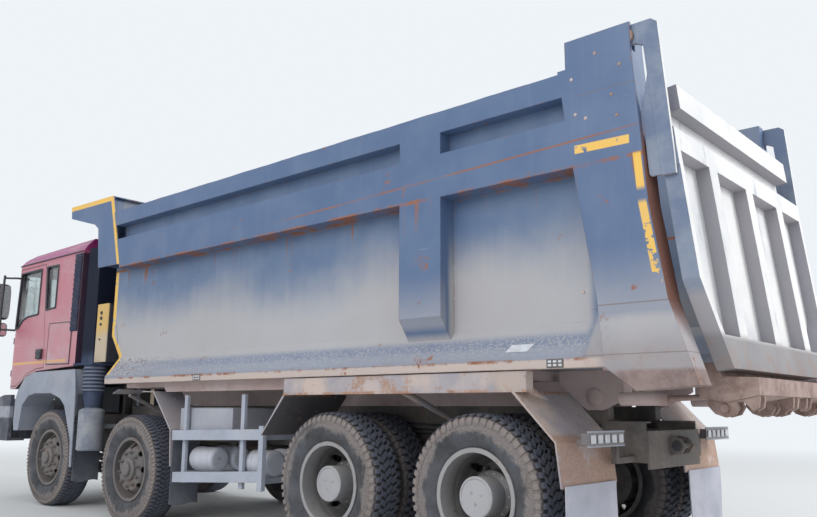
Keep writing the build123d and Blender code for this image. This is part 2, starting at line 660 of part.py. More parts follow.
cab_outer = cab_body(CAB_HALF, 0, 0, 0, CAB_CORNER)
cab_inner = cab_body(CAB_HALF - CAB_WALL, CAB_WALL, CAB_SHEET, CAB_ROOF, CAB_CORNER - CAB_WALL)
# the layer of glass that fills the windows, in the middle of the wall
glass_inset = (CAB_WALL - GLASS_T) / 2
glass_outer = cab_body(CAB_HALF - glass_inset, glass_inset, glass_inset, glass_inset, CAB_CORNER - glass_inset)
glass_inner = cab_body(CAB_HALF - glass_inset - GLASS_T, glass_inset + GLASS_T, glass_inset, glass_inset,
                       CAB_CORNER - glass_inset - GLASS_T)

# Cab shell with door openings, windows and the pivot brackets below its nose
with BuildPart() as cab_shell:
    add(cab_outer)
    add(cab_inner, mode=Mode.SUBTRACT)
    for side in (-1, 1):
        side_profile(door_outline(0), side * DOOR_DEPTH_X, side * (CAB_HALF + 50), mode=Mode.SUBTRACT)
        side_profile(pane_outline(0), side * DOOR_DEPTH_X, side * (CAB_HALF + 50), mode=Mode.SUBTRACT)
    front_profile(windscreen_outline(0), CAB_FRONT - 60, CAB_FRONT + 260, mode=Mode.SUBTRACT)
    for side in (-1, 1):
        # door hinges: a pin held between two lugs
        hinge = (side * DOOR_HINGE[0], DOOR_HINGE[1])
        for z in DOOR_HINGE_Z:
            rod((*hinge, z - HINGE_HALF), (*hinge, z + HINGE_HALF), HINGE_PIN_R + 9, mode=Mode.SUBTRACT)
            rod((*hinge, z - HINGE_HALF - 10), (*hinge, z + HINGE_HALF + 10), HINGE_PIN_R)
            for end in (-1, 1):
                block((side * 1072, side * 1102), (DOOR_HINGE[1] - 22, DOOR_HINGE[1] + 6),
                      (z + end * HINGE_HALF, z + end * (HINGE_HALF + 10)))
        bracket = [(CAB_PIVOT_Y - 40, CAB_PIVOT_Z), (CAB_PIVOT_Y + 35, CAB_PIVOT_Z), (-880, 1500),
                   (-985, 1450)]
        bracket_x = (side * (RAIL_X - 20), side * (RAIL_X + 20))
        side_profile(bracket, *bracket_x)
        rod((bracket_x[0], CAB_PIVOT_Y, CAB_PIVOT_Z), (bracket_x[1], CAB_PIVOT_Y, CAB_PIVOT_Z), 45)
        rod((side * (RAIL_X - 50), CAB_PIVOT_Y, CAB_PIVOT_Z), (side * (RAIL_X + 50), CAB_PIVOT_Y, CAB_PIVOT_Z),
            CAB_PIN_R + RUNNING_GAP, mode=Mode.SUBTRACT)
finish(cab_shell.part, "cab_shell")

# Windscreen and the two fixed panes
with BuildPart() as cab_glass:
    add(glass_outer)
    add(glass_inner, mode=Mode.SUBTRACT)
    with BuildPart(mode=Mode.PRIVATE) as frames:
        front_profile(windscreen_outline(GLASS_SEAT), CAB_FRONT - 60, CAB_FRONT + 260)
        for side in (-1, 1):
            side_profile(pane_outline(GLASS_SEAT), side * DOOR_DEPTH_X, side * (CAB_HALF + 50))
    add(frames.part, mode=Mode.INTERSECT)
finish(cab_glass.part, "cab_glass")

for side, hand in ((1, "left"), (-1, "right")):
    # Door: the cab's own wall inside the door outline, with a window
    with BuildPart() as door:
        side_profile(door_outline(DOOR_GAP), side * (DOOR_DEPTH_X + 2), side * (CAB_HALF + 50))
        add(cab_outer, mode=Mode.INTERSECT)
        add(cab_inner, mode=Mode.SUBTRACT)
        side_profile(window_outline(0), side * DOOR_DEPTH_X, side * (CAB_HALF + 50), mode=Mode.SUBTRACT)
        # hinge knuckles round the cab's pins, and the room that the pins' lugs take
        hinge = (side * DOOR_HINGE[0], DOOR_HINGE[1])
        for z in DOOR_HINGE_Z:
            block((side * 1060, side * 1112), (DOOR_HINGE[1] - 30, DOOR_HINGE[1] + 24),
                  (z - HINGE_HALF - 18, z + HINGE_HALF + 18), mode=Mode.SUBTRACT)
            block((side * 1066, side * 1100), (DOOR_HINGE[1] + 2, DOOR_HINGE[1] + 34),
                  (z + RUNNING_GAP - HINGE_HALF, z + HINGE_HALF - RUNNING_GAP))
            rod((*hinge, z + RUNNING_GAP - HINGE_HALF), (*hinge, z + HINGE_HALF - RUNNING_GAP), HINGE_PIN_R + 7)
            rod((*hinge, z - HINGE_HALF - 20), (*hinge, z + HINGE_HALF + 20), HINGE_PIN_R + RUNNING_GAP,
                mode=Mode.SUBTRACT)
        handle_x = (side * (CAB_HALF - 5), side * (CAB_HALF + 32))
        block(handle_x, (-600, -500), (1716, 1794))
    finish(door.part, f"door_{hand}")
    with BuildPart() as door_glass:
        side_profile(window_outline(GLASS_SEAT), side * DOOR_DEPTH_X, side * (CAB_HALF + 50))
        add(glass_outer, mode=Mode.INTERSECT)
        add(glass_inner, mode=Mode.SUBTRACT)
    finish(door_glass.part, f"door_glass_{hand}")
    # Mirror: two arms from the door and a tall head with a small head below
    with BuildPart() as mirror:
        # height of an arm, station of its foot, x of the door's surface there
        for z, y, surface in ((2100, -1372, 1112.4), (2780, -1306, CAB_HALF + RUNNING_GAP)):
            rod((side * surface, y, z), (side * (surface + 40), y, z), 20)
            rod((side * (surface + 20), y, z), (side * 1300, -1388, z), 12)
        rod((side * 1300, -1388, 2070), (side * 1300, -1388, 2810), 16)
        block((side * 1190, side * 1400), (-1470, -1395), (2230, 2700))
        block((side * 1200, side * 1390), (-1470, -1395), (2010, 2190))
    finish(mirror.part, f"mirror_{hand}")

# Front panel: grille slats between two posts, below the windscreen
with BuildPart() as grille:
    for z in (1400, 1500, 1600, 1700, 1800):
        block((-760, 760), (CAB_FRONT - 12, CAB_FRONT - RUNNING_GAP), (z, z + 62))
    for x in (-740, 0, 740):
        block((x - 20, x + 20), (CAB_FRONT - 12, CAB_FRONT - RUNNING_GAP), (1400, 1862))
finish(grille.part, "grille")

# Two seats and a bunk behind them stand on the cab floor
with BuildPart() as seats:
    for x in (-560, 560):
        block((x - 230, x + 230), (-790, -330), (1640, 1830))
        side_profile([(-440, 1830), (-330, 1830), (-190, 2500), (-300, 2500)], x - 220, x + 220)
        block((x - 170, x + 170), (-740, -380), (1576.9, 1640))
    back = CAB_REAR - CAB_WALL - RUNNING_GAP
    block((-1060, 1060), (-120, back), (1700, 1840))
    block((-1060, 1060), (20, back), (1602.3, 1700))
finish(seats.part, "seats")

# Dashboard with the steering column and wheel
with BuildPart() as dashboard:
    back = CAB_FRONT + CAB_WALL + RUNNING_GAP
    side_profile([(back, 1700), (-1180, 1700), (-1080, 1990), (-1180, 2060), (back, 2050)], -950, 950)
    rod((560, -1150, 1950), (560, -886, 2066), 26)
    wheel = Plane(origin=(560, sta(-890), 2064), z_dir=(0, 0.9, 0.44))
    with BuildSketch(wheel) as hub:
        Circle(55)
    extrude(hub.sketch, amount=30)
    with BuildSketch(Plane(origin=wheel.origin + wheel.x_dir * 222, x_dir=wheel.x_dir, z_dir=wheel.y_dir)) as rim:
        Circle(14)
    revolve(rim.sketch, axis=Axis(wheel.origin, wheel.z_dir))
    for angle in (0, 120, 240):
        spoke = wheel.x_dir.rotate(Axis((0, 0, 0), wheel.z_dir), angle)
        with BuildSketch(Plane(origin=wheel.origin + spoke * 40, z_dir=spoke)) as section:
            Rectangle(22, 14)
        extrude(section.sketch, amount=175)
finish(dashboard.part, "dashboard")


# Front bumper: a wrapped beam with lamp recesses, a low intake and a step at each end
with BuildPart() as bumper:
    outer = both_sides(((-HALF_WIDTH + 25, -960), (-HALF_WIDTH + 25, -1310), (-1120, -1430), (-900, -FRONT_OVERHANG)))
    inner = both_sides(((BUMPER_T - HALF_WIDTH + 25, -959), (BUMPER_T - HALF_WIDTH + 25, -1290),
                        (-1090, -1385), (-890, BUMPER_T - FRONT_OVERHANG)))
    plan_profile(outer, BUMPER_Z[0], BUMPER_Z[1] + 60)
    plan_profile(inner, BUMPER_Z[0] - 1, BUMPER_Z[1] + 61, mode=Mode.SUBTRACT)
    crown = [(-FRONT_OVERHANG - 10, BUMPER_Z[1]), (-1157, BUMPER_Z[1] + 59), (-950, BUMPER_Z[1] + 61),
             (-950, BUMPER_Z[1] + 80), (-FRONT_OVERHANG - 10, BUMPER_Z[1] + 80)]
    side_profile(crown, -HALF_WIDTH, HALF_WIDTH, mode=Mode.SUBTRACT)
    block((-330, 330), (-FRONT_OVERHANG - 5, -FRONT_OVERHANG + BUMPER_T + 5), (760, 880), mode=Mode.SUBTRACT)
    for side in (-1, 1):
        block((side * LAMP_X[0], side * LAMP_X[1]), (-FRONT_OVERHANG - 5, LAMP_BACK), LAMP_Z, mode=Mode.SUBTRACT)
        # step treads inside the wrapped end, and the bracket to the side rail
        for z in (BUMPER_Z[0], 960):
            block((side * (HALF_WIDTH - 25 - BUMPER_T), side * 1040), (-1240, -965), (z, z + 30))
        block((side * (RAIL_X - 75), side * RAIL_X), (FRAME_NOSE, BUMPER_T - FRONT_OVERHANG), (770, 870))
finish(bumper.part, "bumper")

# Front wings: an outer skin, a top sheet with a wheel-arch liner, and tubes across the frame
WING_OUT = ((-828, 830), (-856, 950), (-854, 1193), (-796, 1315), (-632, 1470), (-400, 1524), (640, 1530))
WING_IN = ((450, 1130), (330, 1210), (100, 1268), (-330, 1272), (-500, 1240), (-650, 1130), (-705, 830))
WING_HOLLOW = ((-800, 815), (-828, 950), (-826, 1183), (-776, 1295), (-620, 1443), (-397, 1496), (612, 1502),
               (612, 1058), (470, 1158), (342, 1238), (103, 1296), (-335, 1300), (-515, 1266), (-676, 1148),
               (-735, 815))
with BuildPart() as wings:
    for side in (-1, 1):
        skin = WING_OUT + ((688, 1264), (716, 465), (680, 465), (650, 760)) + WING_IN
        side_profile(skin, side * WING_SKIN_X, side * (WING_SKIN_X + WING_T))
        side_profile(WING_OUT + ((640, 1010), (612, 1010)) + WING_IN, side * WING_X, side * WING_SKIN_X)
        side_profile(WING_HOLLOW, side * (WING_X - 1), side * WING_SKIN_X, mode=Mode.SUBTRACT)
    for y, seat in ((-520, RAIL_TOP), (560, RAIL_TOP + SUB_H)):
        tube_end = WING_SKIN_X - RUNNING_GAP
        rod((-tube_end, y, 1420), (tube_end, y, 1420), 20)
        for side in (-1, 1):
            rod((side * 385, y, seat), (side * 385, y, 1420), 20)
finish(wings.part, "front_wings")

# Air intake: a column behind the cab, bellows, a cone and the filter canister
with BuildPart() as intake:
    block((900, 1110), (500, 770), (1600, 2950))
    block((900, 1200), (500, 940), (1575, 1600))
    block((940, 1070), (450, 500), (2550, 2900))
    axis = (FILTER_X, sta(FILTER_Y))
    with BuildSketch(Plane(origin=(*axis, 0), x_dir=(1, 0, 0), z_dir=(0, -1, 0))) as section:
        with BuildLine():
            pleats = [(BELLOWS_R - PLEAT * (n % 2), BELLOWS_Z[0] + n * (BELLOWS_Z[1] - BELLOWS_Z[0]) / PLEATS)
                      for n in range(PLEATS + 1)]
            can = [(0, FILTER_Z[0]), (FILTER_R - 15, FILTER_Z[0]), (FILTER_R, FILTER_Z[0] + 15),
                   (FILTER_R, FILTER_Z[1] - 20), (FILTER_R - 20, FILTER_Z[1]), (80, FILTER_Z[1] + 12),
                   (92, FILTER_Z[1] + 60), (BELLOWS_R - PLEAT, BELLOWS_Z[0] - 10)]
            Polyline(*can, *pleats, (0, BELLOWS_Z[1]), close=True)
        make_face()
    revolve(section.sketch, axis=Axis((*axis, 0), (0, 0, 1)))
    rod((RAIL_X, FILTER_Y, 900), (FILTER_X, FILTER_Y, 900), 26)
finish(intake.part, "air_intake")

# Oil tank of the hoist, on two feet over a bracket behind the cab
with BuildPart() as oil_tank:
    block((600, 1110), (780, 1040), (1605, 2260))
    fillet(oil_tank.edges().filter_by(Axis.Z), radius=30)
    for x in (620, 850):
        block((x, x + 40), (860, 1000), (1570, 1610))
    block((345, 900), (880, 960), (1500, 1575))
    block((345, 420), (880, 960), (RAIL_TOP + SUB_H, 1500))
finish(oil_tank.part, "oil_tank")

# Silencer and fuel tank on the right side
with BuildPart() as silencer:
    with BuildSketch(Plane.XY.offset(480)) as plan:
        with Locations((-830, sta(900))):
            Rectangle(520, 420)
        fillet(plan.vertices(), radius=90)
    extrude(plan.sketch, amount=520)
    rod((-RAIL_X, 900, 860), (-700, 900, 860), 28)
    rod((-1000, 900, 1000), (-1000, 900, 1180), 55)
finish(silencer.part, "silencer")
with BuildPart() as fuel_tank:
    with BuildSketch(side_plane(-850)) as end:
        with Locations((sta(FUEL_TANK_Y), 760)):
            Rectangle(1240, 600)
        fillet(end.vertices(), radius=60)
    extrude(end.sketch, amount=310, both=True)
    for y in (FUEL_TANK_Y - 400, FUEL_TANK_Y + 400):
        block((-RAIL_X, -560), (y - 30, y + 30), (790, 960))
    with Locations((-1080, sta(FUEL_TANK_Y - 250), 1065)):
        Cylinder(50, 40)
finish(fuel_tank.part, "fuel_tank")

# Side rack on the left: two rails on posts, carried by arms from the frame
with BuildPart() as side_rack:
    y0, y1 = RACK_Y
    posts = [y0 + y for y in RACK_POSTS]
    for z, start, tail in ((807, y0, 850), (425, y0 + 40, 505)):
        side_profile([(start, z), (y1, tail - 5), (y1, tail + 85), (start, z + 92)], RACK_X, RACK_X + 40)
    for y in posts:
        block((RAIL_X, RACK_X), (y - 25, y + 25), (840, RACK_TOP))
        block((RAIL_X + 60, RACK_X), (y - 25, y + 25), (480, RACK_SEAT))
        block((RAIL_X + 60, RAIL_X + 110), (y - 25, y + 25), (480, RACK_TOP))
    for y in posts[::2]:
        block((RACK_X - 30, RACK_X), (y - 25, y + 25), (425, 1226))
    block((RACK_X, RACK_X + 40), (y1 - 60, y1), (430, 960))
finish(side_rack.part, "side_rack")

# Brake air tanks along the rack, and the battery box above them
with BuildPart() as air_tanks:
    axis_z = RACK_SEAT + TANK_R + RUNNING_GAP
    # distances of each tank's ends behind the rack's front
    for start, end in ((150, 510), (1000, 1320)):
        for x in (780, 1025):
            rod((x, RACK_Y[0] + start, axis_z), (x, RACK_Y[0] + end, axis_z), TANK_R)
    fillet(air_tanks.edges().filter_by(GeomType.CIRCLE), radius=35)
    block((640, 1130), (RACK_Y[0] - 10, RACK_Y[0] + 810), (RACK_TOP + RUNNING_GAP, 1105))
finish(air_tanks.part, "air_tanks")

# Mudguards of the second axle and of the bogie, with their carriers
with BuildPart() as mudguards:
    for side in (-1, 1):
        sheet_x = (side * 880, side * 1200)
        for line in (((-249, 1287), (-367, 1247), (-579, 975), (-661, 953)),
                     ((226, 1262), (431, 1259), (765, 897), (795, 560))):
            front = [(WHEELBASE_1_2 + y, z) for y, z in line]
            back = [(y + 12, z + 10) for y, z in reversed(front)]
            side_profile(front + back, *sheet_x)
        # station behind the second axle and height of each carrier's end
        for foot, y, z in ((-395, -360, 1240), (465, 505, 1185)):
            rod((side * RAIL_X, WHEELBASE_1_2 + foot, 1000), (side * 1000, WHEELBASE_1_2 + y, z), 20)
        # skirt over the bogie, a slanting leg before it and a bent sheet behind it
        skirt_x = (side * 1180, side * (HALF_WIDTH - 13))
        skirt = (AXLE_3 - 469, AXLE_4 + 455)
        block(skirt_x, skirt, (SKIRT_Z, SILL_BOTTOM - CLEARANCE))
        wide = (side * 560, skirt_x[1])
        leg = skirt[0] - RUNNING_GAP
        side_profile([(leg, 1340), (leg, 1205), (leg - 277, 886), (leg - 285, 892), (leg - 10, 1225),
                      (leg - 10, 1340)], *wide)
        bent = ((325, 1225), (343, SKIRT_Z), (647, 907), (679, 641), (691, 641), (659, 912), (355, 1225))
        side_profile([(AXLE_4 + y, z) for y, z in bent], *wide)
        for y in (BOGIE_Y, AXLE_4 + 385):
            rod((side * RAIL_X, y, 990), (side * 1190, y, 1255), 24)
    block((-RAIL_X, RAIL_X), (1000, FRAME_TAIL), (rail_low, RAIL_TOP), mode=Mode.SUBTRACT)
finish(mudguards.part, "mudguards")

with BuildPart() as mud_flaps:
    for side in (-1, 1):
        # station, x from, x to, bottom, top
        for y, x0, x1, low, top in ((640 + RUNNING_GAP, 880, 1180, 305, 1255),
                                    (WHEELBASE_1_2 + 807 + RUNNING_GAP, 890, 1190, 210, 900),
                                    (AXLE_4 + 691 + RUNNING_GAP, 600, 1240, 230, 800)):
            block((side * x0, side * x1), (y, y + 10), (low, top))
finish(mud_flaps.part, "mud_flaps")

# Lamps: a pair in the bumper and a pair on the bar at the frame's tail
with BuildPart() as lamps:
    for side in (-1, 1):
        block((side * (LAMP_X[0] + RUNNING_GAP), side * (LAMP_X[1] - RUNNING_GAP)), (LAMP_BACK - 26, LAMP_BACK),
              (LAMP_Z[0] + RUNNING_GAP, LAMP_Z[1] - RUNNING_GAP))
        block((side * 700, side * 1150), (LAMP_BAR_Y + RUNNING_GAP, LAMP_BAR_Y + 50), (895, 965))
        block((side * 690, side * 1160), (LAMP_BAR_Y + 50, LAMP_BAR_Y + 54), (888, 972))
finish(lamps.part, "lamps")

# Tipping body: floor and side walls in one section, pillars and stakes
WALL_SECTION = ((SILL_X, FLOOR_Z - FLOOR_T), (1200, SILL_BOTTOM),
                (HALF_WIDTH, SILL_BOTTOM), (HALF_WIDTH, SILL_TOP + 15), (WALL_X, LEDGE_TOP),
                (WALL_X, MID_RAIL_BOTTOM), (HALF_WIDTH, MID_RAIL_BOTTOM), (HALF_WIDTH, MID_RAIL_TOP),
                (RECESS_X, MID_RAIL_TOP + 20), (RECESS_X, TOP_RAIL_BOTTOM), (HALF_WIDTH, TOP_RAIL_BOTTOM),
                (HALF_WIDTH, TOP_RAIL_TOP), (WALL_X - WALL_T, TOP_RAIL_TOP), (WALL_X - WALL_T, HOPPER_TOP),
                (HOPPER_X, FLOOR_Z))
PILLAR = ((6988, 3435), (6988, 3250), (6930, 3250), (7015, 2607), (7149, 1745), (7177, SILL_BOTTOM),
          (7368, 1210), (7733, 1237), (7584, 1719), (7499, 2297), (7437, 3280), (7437, 3435))
with BuildPart() as bed_tub:
    front_profile(WALL_SECTION + tuple((-x, z) for x, z in reversed(WALL_SECTION)), HEADBOARD_Y, WALL_TAIL_Y)
    for side in (-1, 1):
        # the wall's foot is cut back at the front, and the rails start behind the canopy
        side_profile([(HEADBOARD_Y - 1, SILL_BOTTOM - 1), (WALL_FOOT_Y, SILL_BOTTOM - 1), (WALL_FOOT_Y, 1660),
                      (HEADBOARD_Y, 1890), (HEADBOARD_Y - 1, 1890)], 0, side * (HALF_WIDTH + 1), mode=Mode.SUBTRACT)
        side_profile([(HEADBOARD_Y - 1, 2500), (1506, 2500), (1506, 2629), (1265, 3431), (HEADBOARD_Y - 1, 3431)],
                     side * WALL_X, side * (HALF_WIDTH + 1), mode=Mode.SUBTRACT)
        side_profile(PILLAR, side * (WALL_X - WALL_T), side * HALF_WIDTH)
        stake = [(WALL_X - 1, 1600), (1160, 1585), (HALF_WIDTH, 1740), (HALF_WIDTH, MID_RAIL_BOTTOM + 1),
                 (WALL_X - 1, MID_RAIL_BOTTOM + 1)]
        front_profile([(side * x, z) for x, z in stake], *STAKE_Y)
        block((side * (RECESS_X - 1), side * HALF_WIDTH), STAKE_Y, (MID_RAIL_TOP - 1, TOP_RAIL_BOTTOM + 1))
        # slot in the pillar's head for the tailgate arm, and the pin through it
        slot = (side * (ARM_X - ARM_T / 2 - CLEARANCE), side * (ARM_X + ARM_T / 2 + CLEARANCE))
        block(slot, (GATE_HINGE_Y - 95, 7500), (GATE_HINGE_Z - 95, 3500), mode=Mode.SUBTRACT)
        rod((side * (ARM_X - 60), GATE_HINGE_Y, GATE_HINGE_Z), (side * (HALF_WIDTH - 4), GATE_HINGE_Y, GATE_HINGE_Z),
            GATE_PIN_R)
    # rear sill across the floor's end
    block((-HOPPER_X, HOPPER_X), (WALL_TAIL_Y - 10, 7670), (FLOOR_Z - FLOOR_T, FLOOR_Z - 10))
    for side in (-1, 1):
        corner = [(side * (HOPPER_X - 40), FLOOR_Z - FLOOR_T), (side * WALL_X, FLOOR_Z - FLOOR_T),
                  (side * WALL_X, HOPPER_TOP), (side * (WALL_X - WALL_T), HOPPER_TOP), (side * HOPPER_X, FLOOR_Z)]
        front_profile(corner, WALL_TAIL_Y - 10, 7560)
finish(bed_tub.part, "bed_tub")

# Headboard with its ribs, the canopy over the cab and the seat of the hoist's head
with BuildPart() as headboard:
    y = HEADBOARD_Y
    foot = WALL_FOOT_Y
    board = [(y - HEADBOARD_T, 3422), (y, 3422), (y, 1890), (foot, 1655), (foot, FLOOR_Z - FLOOR_T),
             (foot - HEADBOARD_T, FLOOR_Z - FLOOR_T), (foot - HEADBOARD_T, 1648), (y - HEADBOARD_T, 1882)]
    side_profile(board, 1 - WALL_X, WALL_X - 1)
    for x in (-880, -480, 480, 880):
        side_profile([(y - HEADBOARD_T, 3070), (y - 80, 3070), (y - 80, 2000), (y - HEADBOARD_T, 1900)],
                     x - 40, x + 40)
    # canopy: roof sheet, front lip, gussets and side plates
    face = y - HEADBOARD_T - RUNNING_GAP
    side_profile([(298, 3453), (1262, 3431), (1262, 3421), (308, 3443), (330, 3310), (320, 3310)],
                 -HALF_WIDTH, HALF_WIDTH)
    for x in (-880, -300, 300, 880):
        side_profile([(310, 3445), (face, 3428), (face, 3085), (900, 3160), (325, 3318)], x - 8, x + 8)
    for side in (-1, 1):
        plate = [(298, 3453), (320, 3310), (900, 3153), (985, 3095), (1050, 2637), (1506, 2629), (1265, 3431)]
        side_profile(plate, side * (HALF_WIDTH - 20), side * HALF_WIDTH)
        side_profile([(y - HEADBOARD_T, 3430), (y, 3430), (y, 2640), (y - HEADBOARD_T, 2640)],
                     side * (WALL_X - 1 + RUNNING_GAP), side * (HALF_WIDTH - 20))
        seat = [(face, 3080), (HOIST_Y - 40, HOIST_TOP_Z + 150), (HOIST_Y - 40, HOIST_TOP_Z),
                (HOIST_Y + 60, HOIST_TOP_Z - 40), (face, 2560)]
        cheek_x = (side * (HOIST_EYE_W / 2 + CLEARANCE), side * (HOIST_EYE_W / 2 + CLEARANCE + 25))
        side_profile(seat, *cheek_x)
        block((cheek_x[0] - side, cheek_x[1] + side), (HOIST_Y - 60, HOIST_Y),
              (HOIST_TOP_Z - 60, HOIST_TOP_Z + HOIST_PIN_R + RUNNING_GAP), mode=Mode.SUBTRACT)
        block((cheek_x[0] - side, cheek_x[1] + side), (HOIST_Y - 60, HOIST_Y + HOIST_PIN_R + RUNNING_GAP),
              (HOIST_TOP_Z - 60, HOIST_TOP_Z), mode=Mode.SUBTRACT)
        rod((cheek_x[0] - side, HOIST_Y, HOIST_TOP_Z), (cheek_x[1] + side, HOIST_Y, HOIST_TOP_Z),
            HOIST_PIN_R + RUNNING_GAP, mode=Mode.SUBTRACT)
finish(headboard.part, "headboard")

# Body underframe: long beams, cross bearers, hinge lugs, rear crossbeam and latch cylinders
with BuildPart() as bed_frame:
    top = FLOOR_Z - FLOOR_T
    beam_top = top - BEARER_H - RUNNING_GAP
    h = TIP_HINGE_Y
    z = TIP_HINGE_Z
    for side in (-1, 1):
        beam_x = (side * (RAIL_X - SUB_W), side * RAIL_X)
        beam = [(WALL_FOOT_Y, sub_top + RUNNING_GAP), (h - 150, sub_top + RUNNING_GAP),
                (h - 120, z + TIP_BOSS_R + CLEARANCE), (h + 110, z + TIP_BOSS_R + CLEARANCE),
                (h + 200, beam_top), (WALL_FOOT_Y, beam_top)]
        side_profile(beam, *beam_x)
        # the side beam under the sill drops behind the second axle's mudguard
        low = [(1570, 1308), (2290, 1308), (2330, 1262), (4290, 1262)]
        side_profile([(1570, top)] + low + [(4290, top)], side * SIDE_BEAM_X[0], side * SIDE_BEAM_X[1])
        lug = [(h - 275, 1285), (h - 190, 1185), (h - 60, 1103), (h + 60, 1103), (h + 337, 1240), (h + 337, 1285),
               (h + 337, top), (h - 275, top)]
        lug_x = (side * (RAIL_X + CLEARANCE), side * (RAIL_X + CLEARANCE + LUG_T))
        side_profile(lug, *lug_x)
        rod((lug_x[0] - side, h, z), (lug_x[1] + side, h, z), TIP_PIN_R + RUNNING_GAP, mode=Mode.SUBTRACT)
        rod((side * 600, h + 270, 1178), (side * 600, h + 600, 1178), 45)
        rod((side * 600, h + 600, 1178), (side * 600, 7640, 1190), 18)
        block((side * 580, side * 620), (h + 300, h + 360), (1200, top))
        block((side * 580, side * 620), (7600, 7640), (1180, 1290))
    reach = SIDE_BEAM_X[0] - RUNNING_GAP
    for y in BEARERS:
        block((-reach, reach), (y - BEARER_W / 2, y + BEARER_W / 2), (top - BEARER_H, top))
    block((-SILL_X, SILL_X), (7085, 7155), (top - 40, top))
    rear = [(7560, top), (7560, 1180), (7700, 1150), (TAIL_STATION, 1190), (TAIL_STATION, 1290), (7700, 1300),
            (7675, top)]
    side_profile(rear, -HOPPER_X, HOPPER_X)
finish(bed_frame.part, "bed_underframe")

# Tailgate: a sheet stiffened by beams and ribs, hung from two arms
lean = asin((GATE_FOOT_Y - GATE_TOP_Y) / (GATE_TOP_Z - GATE_FOOT_Z))
gate_face = Plane(origin=(0, sta(GATE_TOP_Y), GATE_TOP_Z), x_dir=(-1, 0, 0),
                  z_dir=(0, cos(lean), sin(lean)))


def gate_panel(points, depth):
    """Adds a panel of (x, distance below the gate's top) points to the gate."""
    with BuildSketch(gate_face) as panel:
        with BuildLine():
            Polyline(*[(x, -down) for x, down in points], close=True)
        make_face()
    extrude(panel.sketch, amount=depth)


with BuildPart() as tailgate:
    high = GATE_TOP_Z - GATE_CORNER_Z
    full = GATE_TOP_Z - GATE_FOOT_Z
    half = ((GATE_HEAD_X, 0), (GATE_HEAD_X, 270), (GATE_X, 310), (GATE_X, high), (GATE_FOOT_X, full))
    gate_panel(half + tuple((-x, down) for x, down in reversed(half)), GATE_SHEET_T)
    for x, down, depth in ((GATE_HEAD_X, 0, 160), (GATE_X, 322, 140)):
        gate_panel(((-x, down), (x, down), (x, down + depth), (-x, down + depth)), GATE_BEAM_D)
    slope = (GATE_X - GATE_FOOT_X) / (full - high)
    foot_top = GATE_FOOT_X + 190 * slope
    gate_panel(((-foot_top, full - 190), (foot_top, full - 190), (GATE_FOOT_X, full), (-GATE_FOOT_X, full)),
               GATE_BEAM_D)
    for x in GATE_RIBS:
        rib = (x - GATE_RIB_W / 2, x + GATE_RIB_W / 2)
        gate_panel(((rib[0], 450), (rib[1], 450), (rib[1], full - 180), (rib[0], full - 180)), GATE_BEAM_D)
    for side in (-1, 1):
        gate_panel(((side * (GATE_X - 50), 322), (side * GATE_X, 322), (side * GATE_X, high),
                    (side * GATE_FOOT_X, full), (side * (GATE_FOOT_X - 70), full), (side * (GATE_X - 60), high + 20)),
                   GATE_BEAM_D)
        gate_panel(((side * (GATE_X - 1), 410), (side * (ARM_X - ARM_T / 2 + 1), 410),
                    (side * (ARM_X - ARM_T / 2 + 1), 560), (side * (GATE_X - 1), 560)), GATE_BEAM_D)
        arm = [(GATE_HINGE_Y - 55, GATE_HINGE_Z + 40), (GATE_HINGE_Y - 25, GATE_HINGE_Z + 75), (7560, 3425),
               (7598, 3395), (7655, 2570), (7660, 2440), (7575, 2440), (7562, 2570), (7505, 3270),
               (GATE_HINGE_Y + 55, GATE_HINGE_Z - 55), (GATE_HINGE_Y - 55, GATE_HINGE_Z - 50)]
        side_profile(arm, side * (ARM_X - ARM_T / 2), side * (ARM_X + ARM_T / 2))
        rod((side * (ARM_X - ARM_T), GATE_HINGE_Y, GATE_HINGE_Z), (side * (ARM_X + ARM_T), GATE_HINGE_Y, GATE_HINGE_Z),
            GATE_PIN_R + RUNNING_GAP, mode=Mode.SUBTRACT)
finish(tailgate.part, "tailgate")

# Front hoist: a tube on trunnions and four stages, the last with the head's cross pin
stage_step = HOIST_WALL + RUNNING_GAP
foot = (0, HOIST_Y)
with BuildPart() as hoist_tube:
    rod((*foot, HOIST_FOOT_Z - 70), (*foot, HOIST_TUBE_TOP), HOIST_R)
    rod((*foot, HOIST_FOOT_Z - 50), (*foot, HOIST_TUBE_TOP + 1), HOIST_R - HOIST_WALL, mode=Mode.SUBTRACT)
    for side in (-1, 1):
        rod((side * (HOIST_R - 6), HOIST_Y, HOIST_FOOT_Z), (side * (HOIST_CRADLE_X + 22), HOIST_Y, HOIST_FOOT_Z),
            HOIST_PIN_R)
finish(hoist_tube.part, "hoist_tube")
for stage in range(1, HOIST_STAGES + 1):
    radius = HOIST_R - stage * stage_step
    low = HOIST_FOOT_Z - 50 + stage * HOIST_WALL
    top = HOIST_TUBE_TOP + stage * HOIST_LIP
    with BuildPart() as hoist_stage:
        rod((*foot, low), (*foot, top), radius)
        if stage < HOIST_STAGES:
            rod((*foot, low + HOIST_WALL), (*foot, top + 1), radius - HOIST_WALL, mode=Mode.SUBTRACT)
        else:
            rod((*foot, top - 1), (*foot, HOIST_TOP_Z), radius)
            rod((-HOIST_EYE_W / 2, HOIST_Y, HOIST_TOP_Z), (HOIST_EYE_W / 2, HOIST_Y, HOIST_TOP_Z), 62)
            pin = HOIST_EYE_W / 2 + CLEARANCE + 25 + CLEARANCE
            rod((-pin, HOIST_Y, HOIST_TOP_Z), (pin, HOIST_Y, HOIST_TOP_Z), HOIST_PIN_R)
    finish(hoist_stage.part, f"hoist_stage_{stage}")
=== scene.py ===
"""Weathered four-axle tipping truck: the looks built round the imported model."""

